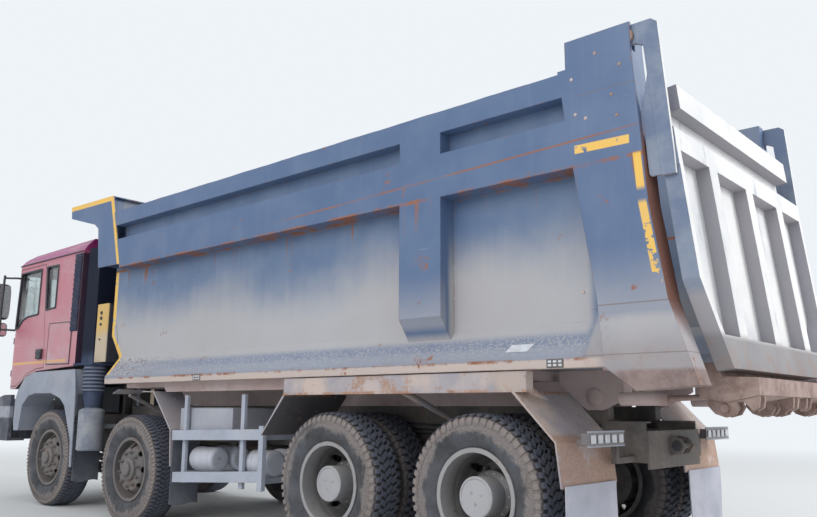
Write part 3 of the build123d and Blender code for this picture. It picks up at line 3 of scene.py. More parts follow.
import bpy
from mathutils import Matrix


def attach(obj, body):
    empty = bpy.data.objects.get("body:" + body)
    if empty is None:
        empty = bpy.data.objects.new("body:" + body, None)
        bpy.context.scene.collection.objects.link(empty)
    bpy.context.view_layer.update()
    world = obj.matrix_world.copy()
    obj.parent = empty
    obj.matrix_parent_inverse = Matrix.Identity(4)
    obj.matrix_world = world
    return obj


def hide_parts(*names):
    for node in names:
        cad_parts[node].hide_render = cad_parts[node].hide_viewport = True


bl_info = {
    "name": "Tipping Truck Looks",
    "version": (1, 0, 0),
    "blender": (4, 5, 0),
    "location": "3D View > Sidebar > Truck",
    "description": "Builds tyres, fittings, paint and stage of a weathered tipping truck",
    "category": "Add Mesh",
}

from math import cos, pi, radians, sin

import bmesh
import bpy
import numpy as np
from bpy.props import FloatProperty, FloatVectorProperty, IntProperty, PointerProperty
from mathutils import Matrix, Vector

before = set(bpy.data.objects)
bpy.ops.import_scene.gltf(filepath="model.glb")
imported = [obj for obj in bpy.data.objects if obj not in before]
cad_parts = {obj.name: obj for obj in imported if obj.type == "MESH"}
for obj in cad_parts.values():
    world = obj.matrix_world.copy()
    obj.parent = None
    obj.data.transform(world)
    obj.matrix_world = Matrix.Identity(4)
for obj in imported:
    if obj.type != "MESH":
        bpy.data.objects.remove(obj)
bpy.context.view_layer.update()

# Places, in metres. Stations are measured back from the first axle.
FIRST_AXLE_Y = -3.21
AXLES = {1: 0.0, 2: 1.795, 3: 4.775, 4: 6.175}
FRONT_WHEEL_X = 1.032
REAR_WHEEL_X = 0.9
TWIN_STEP = 0.354
FLAT_SAG = 0.045
FLAT_WHEEL = (2, "left")
HALF_WIDTH = 1.275
CAB_X = 1.12
CAB_CORNER = 0.16
CAB_FRONT = -1.462
SIDES = {"left": 1, "right": -1}
TYRE_RADIUS = 0.54
FRONT_NUT_CIRCLE = 0.168
REAR_NUT_CIRCLE = 0.193
# Radius at which a tyre's sidewall begins, for the mud that reaches outwards from it
BEAD_RADIUS = 0.30
MIRROR_POST_X = 1.30
MIRROR_POST_STATION = -1.388
AIR_TANK_Z = 0.6403
RAIL_FACE_X = 0.425
# The camera of the photograph: its place, its turns in radians and its lens in millimetres
CAMERA_X = 5.509
CAMERA_STATION = 9.377
CAMERA_Z = 1.101
CAMERA_YAW, CAMERA_PITCH, CAMERA_ROLL = 0.850, 0.189, 0.005
CAMERA_LENS = 34.82
FLOOR_RADIUS = 120


def at(station):
    """Turns a station behind the first axle into a Y."""
    return FIRST_AXLE_Y + station


# Surfaces

def grid_quads(rows, columns, closed=False, ring=False):
    """Quads of a grid of rows x columns points.

    Closed joins its last column to its first one, and ring its last row to its first one."""
    r = np.arange(rows if ring else rows - 1)[:, None]
    c = np.arange(columns if closed else columns - 1)[None, :]
    ahead, below = (c + 1) % columns, (r + 1) % rows
    quads = np.stack([r * columns + c, r * columns + ahead, below * columns + ahead, below * columns + c],
                     axis=-1)
    return quads.reshape(-1, 4)


def caps(rows, columns):
    """The two faces that close a tube of rows x columns points."""
    return np.stack([np.arange(columns), np.arange(columns) + (rows - 1) * columns])


class Form:
    """Collects points and faces, and makes one mesh of them."""

    def __init__(self):
        self.points, self.faces, self.count = [], [], 0

    def add(self, points, *faces):
        """Adds an (n, 3) array of points and arrays of faces that index it."""
        points = np.asarray(points, dtype=float).reshape(-1, 3)
        self.points.append(points)
        for some in faces:
            self.faces.extend((np.asarray(some) + self.count).tolist())
        self.count += len(points)
        return self

    def repeat(self, points, *faces):
        """Adds an (m, n, 3) array: m copies of a form of n points with the same faces."""
        copies, size = points.shape[:2]
        shift = (np.arange(copies) * size)[:, None, None]
        return self.add(points,
                        *[(np.asarray(some)[None] + shift).reshape(-1, len(some[0])) for some in faces])

    def copied(self, other, points):
        """Adds another form's faces round new places of its points."""
        self.faces.extend([index + self.count for index in face] for face in other.faces)
        self.points.append(points)
        self.count += len(points)
        return self

    def piece(self, name, body, material, smooth=40.0):
        """Makes the object, lets it ride on a body and gives it its material."""
        mesh = bpy.data.meshes.new(name)
        mesh.from_pydata(np.concatenate(self.points).tolist(), [], self.faces)
        shape = bmesh.new()
        shape.from_mesh(mesh)
        bmesh.ops.recalc_face_normals(shape, faces=shape.faces)
        shape.to_mesh(mesh)
        shape.free()
        mesh.polygons.foreach_set("use_smooth", [True] * len(mesh.polygons))
        mesh.set_sharp_from_angle(angle=radians(smooth))
        mesh.materials.append(MATERIALS[material])
        made = bpy.data.objects.new(name, mesh)
        bpy.context.scene.collection.objects.link(made)
        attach(made, body)
        return made


def row(x, y, z):
    """Places in a row: one array of (x, y, z) from three values, of which any may be an array."""
    return np.column_stack(np.broadcast_arrays(x, y, z))


def turned(form, profile, centre, axis="x", steps=48):
    """Revolves (distance along the axis, radius) points: p(u, t) = c + d(u) a + r(u) (cos t b + sin t c').

    The profile's last point joins its first one, so the form is closed all round."""
    along, radius = np.asarray(profile, dtype=float).T
    t = np.linspace(0, 2 * pi, steps, endpoint=False)
    ring = [radius[:, None] * np.cos(t), radius[:, None] * np.sin(t)]
    flat = np.repeat(along[:, None], steps, axis=1)
    order = {"x": (flat, *ring), "y": (ring[1], flat, ring[0]), "z": (*ring, flat)}[axis]
    points = np.stack(order, axis=-1) + np.asarray(centre)
    return form.add(points, grid_quads(len(along), steps, closed=True, ring=True))


def side_turned(form, profile, side, x, y, z, steps):
    """A revolved form on one side of the truck: its profile's distances count outwards from x."""
    return turned(form, [(side * along, radius) for along, radius in profile], (side * x, y, z), steps=steps)


def tube(form, path, radius, steps=12):
    """Carries a circle along a path: p(u, t) = path(u) + r (cos t n(u) + sin t b(u)), ends closed."""
    path = np.asarray(path, dtype=float)
    run = np.gradient(path, axis=0)
    run /= np.linalg.norm(run, axis=1, keepdims=True)
    span = np.abs(path[-1] - path[0]) + np.abs(run).sum(axis=0)
    side = np.zeros(3)
    side[np.argmin(span)] = 1.0
    across = np.cross(run, side)
    across /= np.linalg.norm(across, axis=1, keepdims=True)
    up = np.cross(across, run)
    t = np.linspace(0, 2 * pi, steps, endpoint=False)
    ring = np.cos(t)[None, :, None] * across[:, None] + np.sin(t)[None, :, None] * up[:, None]
    points = path[:, None] + radius * ring
    return form.add(points, grid_quads(len(path), steps, closed=True), caps(len(path), steps))


def smooth_path(points, steps=8):
    """A Catmull-Rom line through some points, with steps points on each run."""
    p = np.asarray(points, dtype=float)
    p = np.concatenate([[2 * p[0] - p[1]], p, [2 * p[-1] - p[-2]]])
    t = np.linspace(0, 1, steps, endpoint=False)[None, :, None]
    a, b, c, d = (p[k:len(p) - 3 + k][:, None] for k in range(4))
    second = 2 * a - 5 * b + 4 * c - d
    third = 3 * b - a - 3 * c + d
    line = 0.5 * (2 * b + (c - a) * t + second * t ** 2 + third * t ** 3)
    return np.concatenate([line.reshape(-1, 3), p[-2][None]])


CORNERS = np.array([(x, y, z) for x in (-1, 1) for y in (-1, 1) for z in (-1, 1)], dtype=float)
BLOCK_POINTS = np.repeat(CORNERS, 3, axis=0)
BLOCK_CUTS = np.tile(1 - np.eye(3), (8, 1))


def block_faces():
    """Faces of a chamfered block: six flats, twelve edge strips and eight corner triangles."""
    index = {tuple(c): k for k, c in enumerate(CORNERS.astype(int).tolist())}
    flats, strips = [], []
    for axis in range(3):
        one, two = [a for a in range(3) if a != axis]
        for sign in (-1, 1):
            ring = []
            for s1, s2 in ((-1, -1), (1, -1), (1, 1), (-1, 1)):
                corner = [0, 0, 0]
                corner[axis], corner[one], corner[two] = sign, s1, s2
                ring.append(index[tuple(corner)] * 3 + axis)
            flats.append(ring)
        for s1 in (-1, 1):
            for s2 in (-1, 1):
                low, high = [0, 0, 0], [0, 0, 0]
                low[axis], high[axis] = -1, 1
                low[one] = high[one] = s1
                low[two] = high[two] = s2
                a, b = index[tuple(low)] * 3, index[tuple(high)] * 3
                strips.append([a + one, b + one, b + two, a + two])
    corners = [[3 * k, 3 * k + 1, 3 * k + 2] for k in range(8)]
    return np.array(flats + strips), np.array(corners)


BLOCK_QUADS, BLOCK_TRIS = block_faces()


def blocks(form, centres, sizes, chamfer=0.003, turn=None):
    """Chamfered blocks: p = centre + turn (sign * (half - cut * chamfer)), for each row of centres."""
    centres = np.atleast_2d(np.asarray(centres, dtype=float))
    half = np.broadcast_to(np.atleast_2d(np.asarray(sizes, dtype=float)) / 2, centres.shape)
    points = BLOCK_POINTS[None] * (half[:, None] - BLOCK_CUTS[None] * chamfer)
    if turn is not None:
        points = points @ np.asarray(turn).T
    return form.repeat(points + centres[:, None], BLOCK_QUADS, BLOCK_TRIS)


def plate(form, outline, axis, low, high, chamfer=0.002):
    """A flat form: an outline in the plane across an axis, from low to high, its rims chamfered.

    Points go round the outline; each is moved inwards by the chamfer along the mean of its edges' normals."""
    ring = np.asarray(outline, dtype=float)
    ahead = np.roll(ring, -1, axis=0) - ring
    ahead /= np.linalg.norm(ahead, axis=1, keepdims=True)
    normal = np.stack([ahead[:, 1], -ahead[:, 0]], axis=1)
    area = np.sum(ring[:, 0] * np.roll(ring[:, 1], -1) - np.roll(ring[:, 0], -1) * ring[:, 1])
    normal *= np.sign(area)
    mean = normal + np.roll(normal, 1, axis=0)
    mean /= np.maximum(1.0 + np.sum(normal * np.roll(normal, 1, axis=0), axis=1, keepdims=True), 0.3)
    inner = ring - mean * chamfer
    levels = [(inner, low), (ring, low + chamfer), (ring, high - chamfer), (inner, high)]
    flat = np.concatenate([np.column_stack([r, np.full(len(r), d)]) for r, d in levels])
    order = {"x": (2, 0, 1), "y": (0, 2, 1), "z": (0, 1, 2)}[axis]
    return form.add(flat[:, order], grid_quads(4, len(ring), closed=True), caps(4, len(ring)))


def side_plate(form, outline, side, inner, outer, chamfer=0.002):
    """A plate on one side of the truck, between two distances from its middle."""
    return plate(form, outline, "x", *sorted((side * inner, side * outer)), chamfer)


def bolt_heads(form, places, normal, radius=0.012, height=0.009, sides=6):
    """Bolt heads: rings of sides points round each place, raised along the normal and chamfered on top."""
    normal = np.asarray(normal, dtype=float)
    normal /= np.linalg.norm(normal)
    helper = np.array([0.0, 0.0, 1.0]) if abs(normal[2]) < 0.9 else np.array([0.0, 1.0, 0.0])
    a = np.cross(normal, helper)
    a /= np.linalg.norm(a)
    b = np.cross(normal, a)
    t = np.linspace(0, 2 * pi, sides, endpoint=False)
    ring = np.cos(t)[:, None] * a + np.sin(t)[:, None] * b
    # each ring of points: its radius and its height, as shares of the head's
    levels = ((1.35, 0.0), (1.35, 0.2), (1.0, 0.2), (1.0, 0.8), (0.8, 1.0))
    shape = np.concatenate([wide * radius * ring + high * height * normal for wide, high in levels])
    points = np.asarray(places, dtype=float).reshape(-1, 1, 3) + shape[None]
    last = (np.arange(sides) + 4 * sides)[None]
    return form.repeat(points, grid_quads(5, sides, closed=True), last)


def ring_places(centre, radius, count, start=0.0):
    """Places on a circle in the plane across X."""
    t = start + np.arange(count) * 2 * pi / count
    return row(centre[0], centre[1] + radius * np.cos(t), centre[2] + radius * np.sin(t))


# Materials

MATERIALS = {}


class Finish:
    """Builds a node material: each call adds a node and returns a socket."""

    def __init__(self, name):
        self.material = bpy.data.materials.new(name)
        self.material.use_nodes = True
        self.tree = self.material.node_tree
        self.tree.nodes.clear()
        coordinates = self.add("ShaderNodeTexCoord")
        self.place = coordinates.outputs["Object"]
        parts = self.add("ShaderNodeSeparateXYZ", Vector=self.place)
        self.x, self.y, self.z = parts.outputs
        self.side = self.sum("ABSOLUTE", self.x)
        facing = self.add("ShaderNodeSeparateXYZ", Vector=coordinates.outputs["Normal"])
        self.facing_up = facing.outputs["Z"]
        self.facing_x = self.sum("ABSOLUTE", facing.outputs["X"])
        self.facing_y = facing.outputs["Y"]
        MATERIALS[name] = self.material

    def add(self, kind, settings=(), **inputs):
        """Adds a node; a socket given as an input is linked, and anything else is its value."""
        node = self.tree.nodes.new(kind)
        for key, value in dict(settings).items():
            setattr(node, key, value)
        for key, value in inputs.items():
            self.feed(node.inputs[key.replace("_", " ")], value)
        return node

    def feed(self, socket, value):
        """Links a socket to an input, or sets the input to a number or a colour."""
        if isinstance(value, bpy.types.NodeSocket):
            self.tree.links.new(value, socket)
        elif socket.type == "RGBA" and len(value) == 3:
            socket.default_value = (*value, 1.0)
        else:
            socket.default_value = value

    def sum(self, operation, *values, clamp=False):
        """One Math node."""
        node = self.tree.nodes.new("ShaderNodeMath")
        node.operation, node.use_clamp = operation, clamp
        for socket, value in zip(node.inputs, values):
            self.feed(socket, value)
        return node.outputs[0]

    def times(self, *values):
        """The product of its values."""
        result = values[0]
        for value in values[1:]:
            result = self.sum("MULTIPLY", result, value)
        return result

    def either(self, *values):
        """The largest of its values."""
        result = values[0]
        for value in values[1:]:
            result = self.sum("MAXIMUM", result, value)
        return result

    def ramp(self, value, low, high):
        """0 below low, 1 above high, smooth between; low may be the larger."""
        node = self.add("ShaderNodeMapRange", {"interpolation_type": "SMOOTHSTEP"}, Value=value, From_Min=low,
                        From_Max=high)
        return node.outputs["Result"]

    def band(self, value, low, high, soft=0.01):
        """1 between low and high, with soft edges."""
        return self.times(self.ramp(value, low - soft, low + soft),
                          self.ramp(value, high + soft, high - soft))

    def stretched(self, scale):
        """The place, scaled along X, Y and Z."""
        node = self.add("ShaderNodeVectorMath", {"operation": "MULTIPLY"})
        self.feed(node.inputs[0], self.place)
        node.inputs[1].default_value = scale
        return node.outputs[0]

    def noise(self, scale=1.0, detail=4.0, rough=0.55, stretch=None):
        """Cloudy noise from 0 to 1, that may be stretched."""
        vector = self.stretched(stretch) if stretch else self.place
        node = self.add("ShaderNodeTexNoise", Vector=vector, Scale=scale, Detail=detail, Roughness=rough)
        return node.outputs["Fac"]

    def mix(self, factor, first, second):
        """The first colour at 0 and the second at 1."""
        node = self.add("ShaderNodeMix", {"data_type": "RGBA"})
        for socket, value in zip((node.inputs[0], node.inputs[6], node.inputs[7]), (factor, first, second)):
            self.feed(socket, value)
        return node.outputs[2]

    def edges(self, radius=0.012):
        """1 on the edges of the form, from how far a rounded normal leaves the true one."""
        bevel = self.add("ShaderNodeBevel", {"samples": 4}, Radius=radius)
        true = self.add("ShaderNodeNewGeometry")
        dot = self.add("ShaderNodeVectorMath", {"operation": "DOT_PRODUCT"})
        self.feed(dot.inputs[0], bevel.outputs[0])
        self.feed(dot.inputs[1], true.outputs["True Normal"])
        return self.ramp(dot.outputs["Value"], 0.99, 0.8)

    def bump(self, height, distance=0.002, strength=1.0, normal=None):
        """The normal of a surface raised by a height."""
        node = self.add("ShaderNodeBump", Height=height, Distance=distance, Strength=strength)
        if normal is not None:
            self.feed(node.inputs["Normal"], normal)
        return node.outputs[0]

    def rounded(self, radius=0.006):
        """The normal with its edges rounded."""
        return self.add("ShaderNodeBevel", {"samples": 4}, Radius=radius).outputs[0]

    def done(self, colour, rough=0.6, normal=None, **inputs):
        """Ends the material with one shader."""
        shader = self.add("ShaderNodeBsdfPrincipled", Base_Color=colour, Roughness=rough, **inputs)
        if normal is not None:
            self.feed(shader.inputs["Normal"], normal)
        return self.output(shader)

    def output(self, shader):
        """Links a shader to the material's output."""
        out = self.add("ShaderNodeOutputMaterial")
        self.tree.links.new(shader.outputs[0], out.inputs[0])
        return self.material

    def blended(self, factor, first, second):
        """Ends the material with two shaders, the first at 0 and the second at 1."""
        both = self.add("ShaderNodeMixShader", Fac=factor)
        self.tree.links.new(first.outputs[0], both.inputs[1])
        self.tree.links.new(second.outputs[0], both.inputs[2])
        return self.output(both)


def dusted(finish, colour, dust, amount, up_weight=0.6):
    """Lays dust on what faces up, and in broken patches elsewhere; gives the colour and the dust's cover."""
    patches = finish.ramp(finish.noise(2.3, 6, 0.65), 0.62 - 0.35 * amount, 0.80 - 0.25 * amount)
    fine = finish.ramp(finish.noise(38, 5, 0.7), 0.35, 0.7)
    lying = finish.times(finish.ramp(finish.facing_up, 0.2, 0.9), up_weight)
    cover = finish.either(finish.times(patches, finish.sum("MULTIPLY_ADD", fine, 0.5, 0.5), amount), lying)
    return finish.mix(cover, colour, dust), cover


# Heights are above the ground and stations are behind the first axle: the sill's top is at 1.41, the
# ledge runs up to 1.62, the middle rail's foot is at 2.59, and the rear pillar begins at station 7.0.


def body_dust(f, station, outside, large, cloud, fine, runs):
    """Where dust lies on the body: its cover, and where the ledge and the rear pillar's foot are."""
    z, side = f.z, f.side
    # dust climbs the walls in a soft cloud, thicker towards the ledge
    wall = f.times(outside, f.ramp(side, 1.21, 1.15), f.ramp(station, 7.08, 7.0))
    height = f.sum("ADD", z, f.sum("MULTIPLY_ADD", large, -0.9, 0.45))
    height = f.sum("ADD", height, f.sum("MULTIPLY_ADD", runs, -0.10, 0.05))
    climb = f.ramp(height, 2.42, 1.82)
    dust_wall = f.times(wall, climb, f.sum("MULTIPLY_ADD", fine, 0.3, 0.83, clamp=True))
    # the ledge is speckled and the sill is caked
    ledge = f.times(outside, f.band(z, 1.43, 1.62, 0.012), f.ramp(station, 7.15, 7.05))
    speckle = f.either(f.ramp(fine, 0.47, 0.6), f.times(f.ramp(station, 3.2, 1.6), f.ramp(fine, 0.38, 0.5)))
    dust_ledge = f.times(ledge, f.sum("MULTIPLY_ADD", speckle, 0.5, 0.3))
    foot = f.times(outside, f.ramp(z, 1.74, 1.60), f.ramp(station, 7.02, 7.08))
    dust_pillar = f.times(foot, f.sum("MULTIPLY_ADD", cloud, 0.6, 0.62, clamp=True))
    low_stake = f.times(outside, f.ramp(side, 1.19, 1.24),
                        f.ramp(f.sum("ADD", z, f.times(cloud, 0.3)), 2.25, 1.85), 0.55)
    inside = f.times(f.ramp(side, 1.108, 1.10),
                     f.sum("MULTIPLY_ADD", f.noise(1.3, 6, 0.7), 1.2, 0.1, clamp=True))
    dust = f.either(dust_wall, dust_ledge, dust_pillar, low_stake, f.times(inside, 0.8))
    dust = f.either(dust, f.times(f.ramp(f.facing_up, 0.5, 0.95), f.sum("MULTIPLY_ADD", cloud, 0.6, 0.3)))
    return dust, ledge, foot


def body_rust(f, station, cloud):
    """Where rust shows: under the middle rail, along the sill, in streaks, spots and a long gouge."""
    z, side = f.z, f.side
    line = f.times(f.band(z, 2.578, 2.604, 0.008), f.ramp(f.noise(3.1, 5, 0.7), 0.42, 0.58))
    streaks = f.times(f.band(z, 2.30, 2.59, 0.05),
                      f.ramp(f.noise(1.0, 3, 0.6, stretch=(3, 16, 0.8)), 0.60, 0.69),
                      f.ramp(f.sum("ADD", z, f.times(cloud, 0.3)), 2.50, 2.74))
    seam = f.times(f.band(z, 1.395, 1.415, 0.006), f.ramp(f.noise(4.5, 4, 0.7), 0.46, 0.6),
                   f.ramp(station, 7.1, 7.0))
    slope = f.sum("SUBTRACT", z, f.sum("MULTIPLY_ADD", station, 0.028, 2.565))
    gouge = f.times(f.band(slope, -0.006, 0.006, 0.006), f.band(station, 4.3, 7.4, 0.3),
                    f.ramp(f.noise(2.0, 3, 0.6, stretch=(1, 0.6, 1)), 0.40, 0.55))
    spots = f.times(f.ramp(f.noise(3.7, 3, 0.6), 0.66, 0.72), f.ramp(f.noise(26, 4, 0.7), 0.46, 0.6))
    corner = f.times(f.edges(0.014), f.ramp(f.noise(6.5, 5, 0.75), 0.50, 0.62))
    flange = f.times(f.ramp(f.facing_y, 0.35, 0.6), f.ramp(station, 7.40, 7.46), f.ramp(side, 1.08, 1.12),
                     f.ramp(f.sum("ADD", z, f.times(cloud, 0.5)), 3.15, 2.8), f.ramp(z, 1.45, 1.75))
    ooze = f.times(f.band(station, 7.0, 7.9, 0.05), f.band(z, 1.15, 1.45, 0.05),
                   f.ramp(f.noise(9, 5, 0.75), 0.5, 0.62))
    return f.either(line, streaks, seam, gouge, spots, f.times(corner, 0.85), f.times(flange, 0.9),
                    f.times(ooze, 0.15))


def yellow_marks(f, station, outside):
    """Where the yellow is: on the canopy's and front wall's edges, and in a bar and a strip on the pillar."""
    z, side = f.z, f.side
    # the pillar's rear edge runs to the rear below its knee, and to the front above it
    knee_z, knee_station = 2.297, 7.499
    lean_below, lean_above = 0.147, -0.0631
    below = f.sum("MULTIPLY", f.sum("MAXIMUM", f.sum("SUBTRACT", knee_z, z), 0.0), lean_below)
    above = f.sum("MULTIPLY", f.sum("MAXIMUM", f.sum("SUBTRACT", z, knee_z), 0.0), lean_above)
    inset = f.sum("SUBTRACT", f.sum("ADD", f.sum("ADD", below, above), knee_station), station)
    bar_height = f.sum("SUBTRACT", z, f.sum("MULTIPLY_ADD", station, -0.02, 2.845))
    bar = f.times(f.band(bar_height, -0.03, 0.024, 0.003), f.band(station, 7.035, 7.40, 0.004))
    gap = f.sum("SUBTRACT", 1.0, f.band(z, 2.30, 2.38, 0.02))
    strip = f.times(f.band(inset, 0.012, 0.062, 0.003), f.band(z, 1.78, 2.60, 0.01), gap)
    worn = f.ramp(f.sum("ADD", f.noise(7.5, 5, 0.7), f.times(f.ramp(z, 1.8, 2.7), 0.16)), 0.49, 0.53)
    # the canopy's rear edge slopes down and back from its top
    canopy_z, canopy_station, canopy_slope = 3.431, 1.262, 0.3042
    nose = f.sum("ADD", f.sum("MULTIPLY", f.sum("SUBTRACT", canopy_z, z), canopy_slope), canopy_station)
    canopy_rear = f.times(f.band(f.sum("SUBTRACT", nose, station), -0.004, 0.045, 0.003),
                          f.ramp(z, 2.62, 2.64))
    canopy_top = f.times(f.band(f.sum("ADD", z, f.times(station, 0.0228)), 3.405, 3.48, 0.003),
                         f.ramp(station, 1.275, 1.265))
    canopy = f.times(f.either(canopy_rear, canopy_top), f.ramp(side, 1.262, 1.268))
    # the front wall's edge is upright, and cut back below its bend
    bend_z, wall_station, foot_station, cut_slope = 1.89, 1.2, 1.385, 0.79
    cut = f.times(f.sum("MAXIMUM", f.sum("SUBTRACT", bend_z, z), 0.0), cut_slope)
    behind_front = f.sum("SUBTRACT", station, f.sum("MINIMUM", f.sum("ADD", cut, wall_station), foot_station))
    front_edge = f.times(f.band(behind_front, -0.02, 0.042, 0.003), f.band(z, 1.45, 2.585, 0.004),
                         f.ramp(side, 1.06, 1.09))
    return f.either(f.times(bar, outside, worn), f.times(strip, worn, f.ramp(side, 1.25, 1.26)),
                    f.times(canopy, f.ramp(f.noise(8, 4, 0.7), 0.34, 0.4)),
                    f.times(front_edge, f.ramp(f.noise(8, 4, 0.7), 0.36, 0.42)))


def body_paint(colours):
    """The body's blue-grey paint: road dust low on the walls, rust at the rails' edges, worn yellow marks."""
    f = Finish("body_grey")
    z, side = f.z, f.side
    station = f.sum("SUBTRACT", f.y, FIRST_AXLE_Y)
    large = f.noise(0.55, 4, 0.6)
    cloud = f.noise(2.6, 6, 0.6)
    fine = f.noise(60, 4, 0.65)
    grain = f.noise(240, 3, 0.6)
    runs = f.noise(1.0, 5, 0.65, stretch=(3.0, 9.0, 0.7))
    paint = f.mix(f.times(f.ramp(cloud, 0.35, 0.7), 0.3), colours.body, (0.20, 0.26, 0.35))
    paint = f.mix(f.times(f.ramp(runs, 0.5, 0.72), 0.12), paint, (0.26, 0.31, 0.38))
    paint = f.mix(f.times(f.ramp(side, 1.16, 1.2), 0.3), paint, (0.04, 0.085, 0.21))
    # scratches: thin bright lines of stretched noise
    scratch = f.ramp(f.noise(6.0, 3, 0.6, stretch=(1, 0.5, 7.0)), 0.715, 0.75)
    paint = f.mix(f.times(scratch, 0.22), paint, (0.42, 0.45, 0.48))
    outside = f.ramp(side, 0.98, 1.08)
    dust, ledge, foot = body_dust(f, station, outside, large, cloud, fine, runs)
    dust_colour = f.mix(f.ramp(large, 0.35, 0.65), colours.dust, (0.40, 0.385, 0.39))
    dust_colour = f.mix(f.times(foot, f.ramp(z, 1.62, 1.40)), dust_colour, (0.33, 0.30, 0.30))
    colour = f.mix(dust, paint, dust_colour)
    # the sill's face is caked with peach-coloured earth
    sill = f.times(outside, f.ramp(z, 1.415, 1.40), f.ramp(station, 7.2, 7.1))
    colour = f.mix(f.times(sill, f.sum("MULTIPLY_ADD", cloud, 0.6, 0.55, clamp=True)), colour, colours.earth)
    brown = f.times(ledge, f.ramp(station, 3.0, 1.5), f.ramp(f.noise(34, 3, 0.6), 0.52, 0.62))
    colour = f.mix(brown, colour, (0.17, 0.13, 0.11))
    rust = body_rust(f, station, cloud)
    rust_colour = f.mix(f.ramp(f.noise(45, 4, 0.7), 0.35, 0.65), colours.rust, (0.30, 0.12, 0.07))
    colour = f.mix(rust, colour, rust_colour)
    # the floor's tail below the pillar is rusty brown
    tail = f.times(f.ramp(z, 1.345, 1.315), f.ramp(station, 7.2, 7.28),
                   f.sum("MULTIPLY_ADD", cloud, 0.4, 0.6, clamp=True))
    colour = f.mix(tail, colour,
                   f.mix(f.ramp(f.noise(8, 5, 0.7), 0.35, 0.65), (0.26, 0.18, 0.155), (0.15, 0.09, 0.075)))
    # weld seams across the rear pillar
    weld = f.times(f.either(f.band(z, 1.708, 1.716, 0.003), f.band(z, 1.418, 1.424, 0.003),
                            f.band(z, 3.046, 3.052, 0.003)),
                   outside, f.ramp(station, 7.0, 7.1))
    colour = f.mix(f.times(weld, 0.6), colour, (0.16, 0.11, 0.09))
    marks = yellow_marks(f, station, outside)
    colour = f.mix(marks, colour, f.mix(f.ramp(cloud, 0.3, 0.8), colours.yellow, (0.72, 0.45, 0.16)))
    rough = f.sum("MULTIPLY_ADD", f.either(dust, rust), 0.4, 0.45, clamp=True)
    height = f.sum("ADD", f.times(fine, f.either(dust, rust)), f.times(grain, 0.4))
    dents = f.bump(f.noise(1.9, 2, 0.4), 0.05, 0.35, normal=f.rounded(0.008))
    return f.done(colour, rough, normal=f.bump(height, 0.0012, 0.5, normal=dents), Metallic=0.0)


def gate_paint(colours):
    """The tailgate: pale caked dust over the body's paint, rusty low edges, painted light and painted shade.
    """
    f = Finish("gate_dust")
    cloud = f.noise(2.1, 6, 0.65)
    fine = f.noise(48, 5, 0.7)
    paint = f.mix(f.ramp(cloud, 0.4, 0.7), colours.body, (0.22, 0.27, 0.35))
    outside = f.ramp(f.facing_y, -0.3, 0.1)
    cover = f.either(f.times(outside, f.sum("MULTIPLY_ADD", cloud, 0.7, 0.62, clamp=True)),
                     f.times(cloud, 0.35))
    rub = f.ramp(f.noise(1.2, 5, 0.7, stretch=(9, 9, 0.9)), 0.58, 0.7)
    cover = f.times(cover, f.sum("MULTIPLY_ADD", rub, -0.45, 1.0),
                    f.sum("MULTIPLY_ADD", fine, 0.25, 0.9, clamp=True))
    # painted light: the dust is paler on the faces turned to the rear
    colour = f.mix(cover, paint, f.mix(f.ramp(f.facing_y, 0.2, 0.7), (0.46, 0.43, 0.42), (0.70, 0.69, 0.68)))
    # painted shade: the ribs' sides and undersides are darkened to grey, and the foot beam is darker
    side_and_under_shade = f.either(f.ramp(f.facing_x, 0.5, 0.8), f.ramp(f.facing_up, -0.4, -0.7))
    colour = f.mix(f.times(side_and_under_shade, 0.75), colour, (0.31, 0.30, 0.33))
    colour = f.mix(f.times(f.ramp(f.z, 1.56, 1.50), f.sum("MULTIPLY_ADD", cloud, 0.4, 0.75, clamp=True)),
                   colour, (0.23, 0.225, 0.235))
    # the gate's sides stay blue-grey
    colour = f.mix(f.times(f.ramp(f.facing_x, 0.6, 0.9), f.ramp(f.side, 1.15, 1.2), 0.8), colour, paint)
    low = f.times(f.ramp(f.z, 1.62, 1.33), f.ramp(f.noise(8, 5, 0.75), 0.42, 0.6))
    rust = f.either(low, f.times(f.edges(0.012), f.ramp(f.noise(7, 5, 0.7), 0.5, 0.62)))
    colour = f.mix(f.times(rust, 0.4), colour, (0.30, 0.17, 0.12))
    normal = f.bump(f.sum("ADD", fine, f.times(f.noise(9, 4, 0.6), 1.5)), 0.0018, 0.5,
                    normal=f.rounded(0.006))
    return f.done(colour, 0.8, normal=normal)


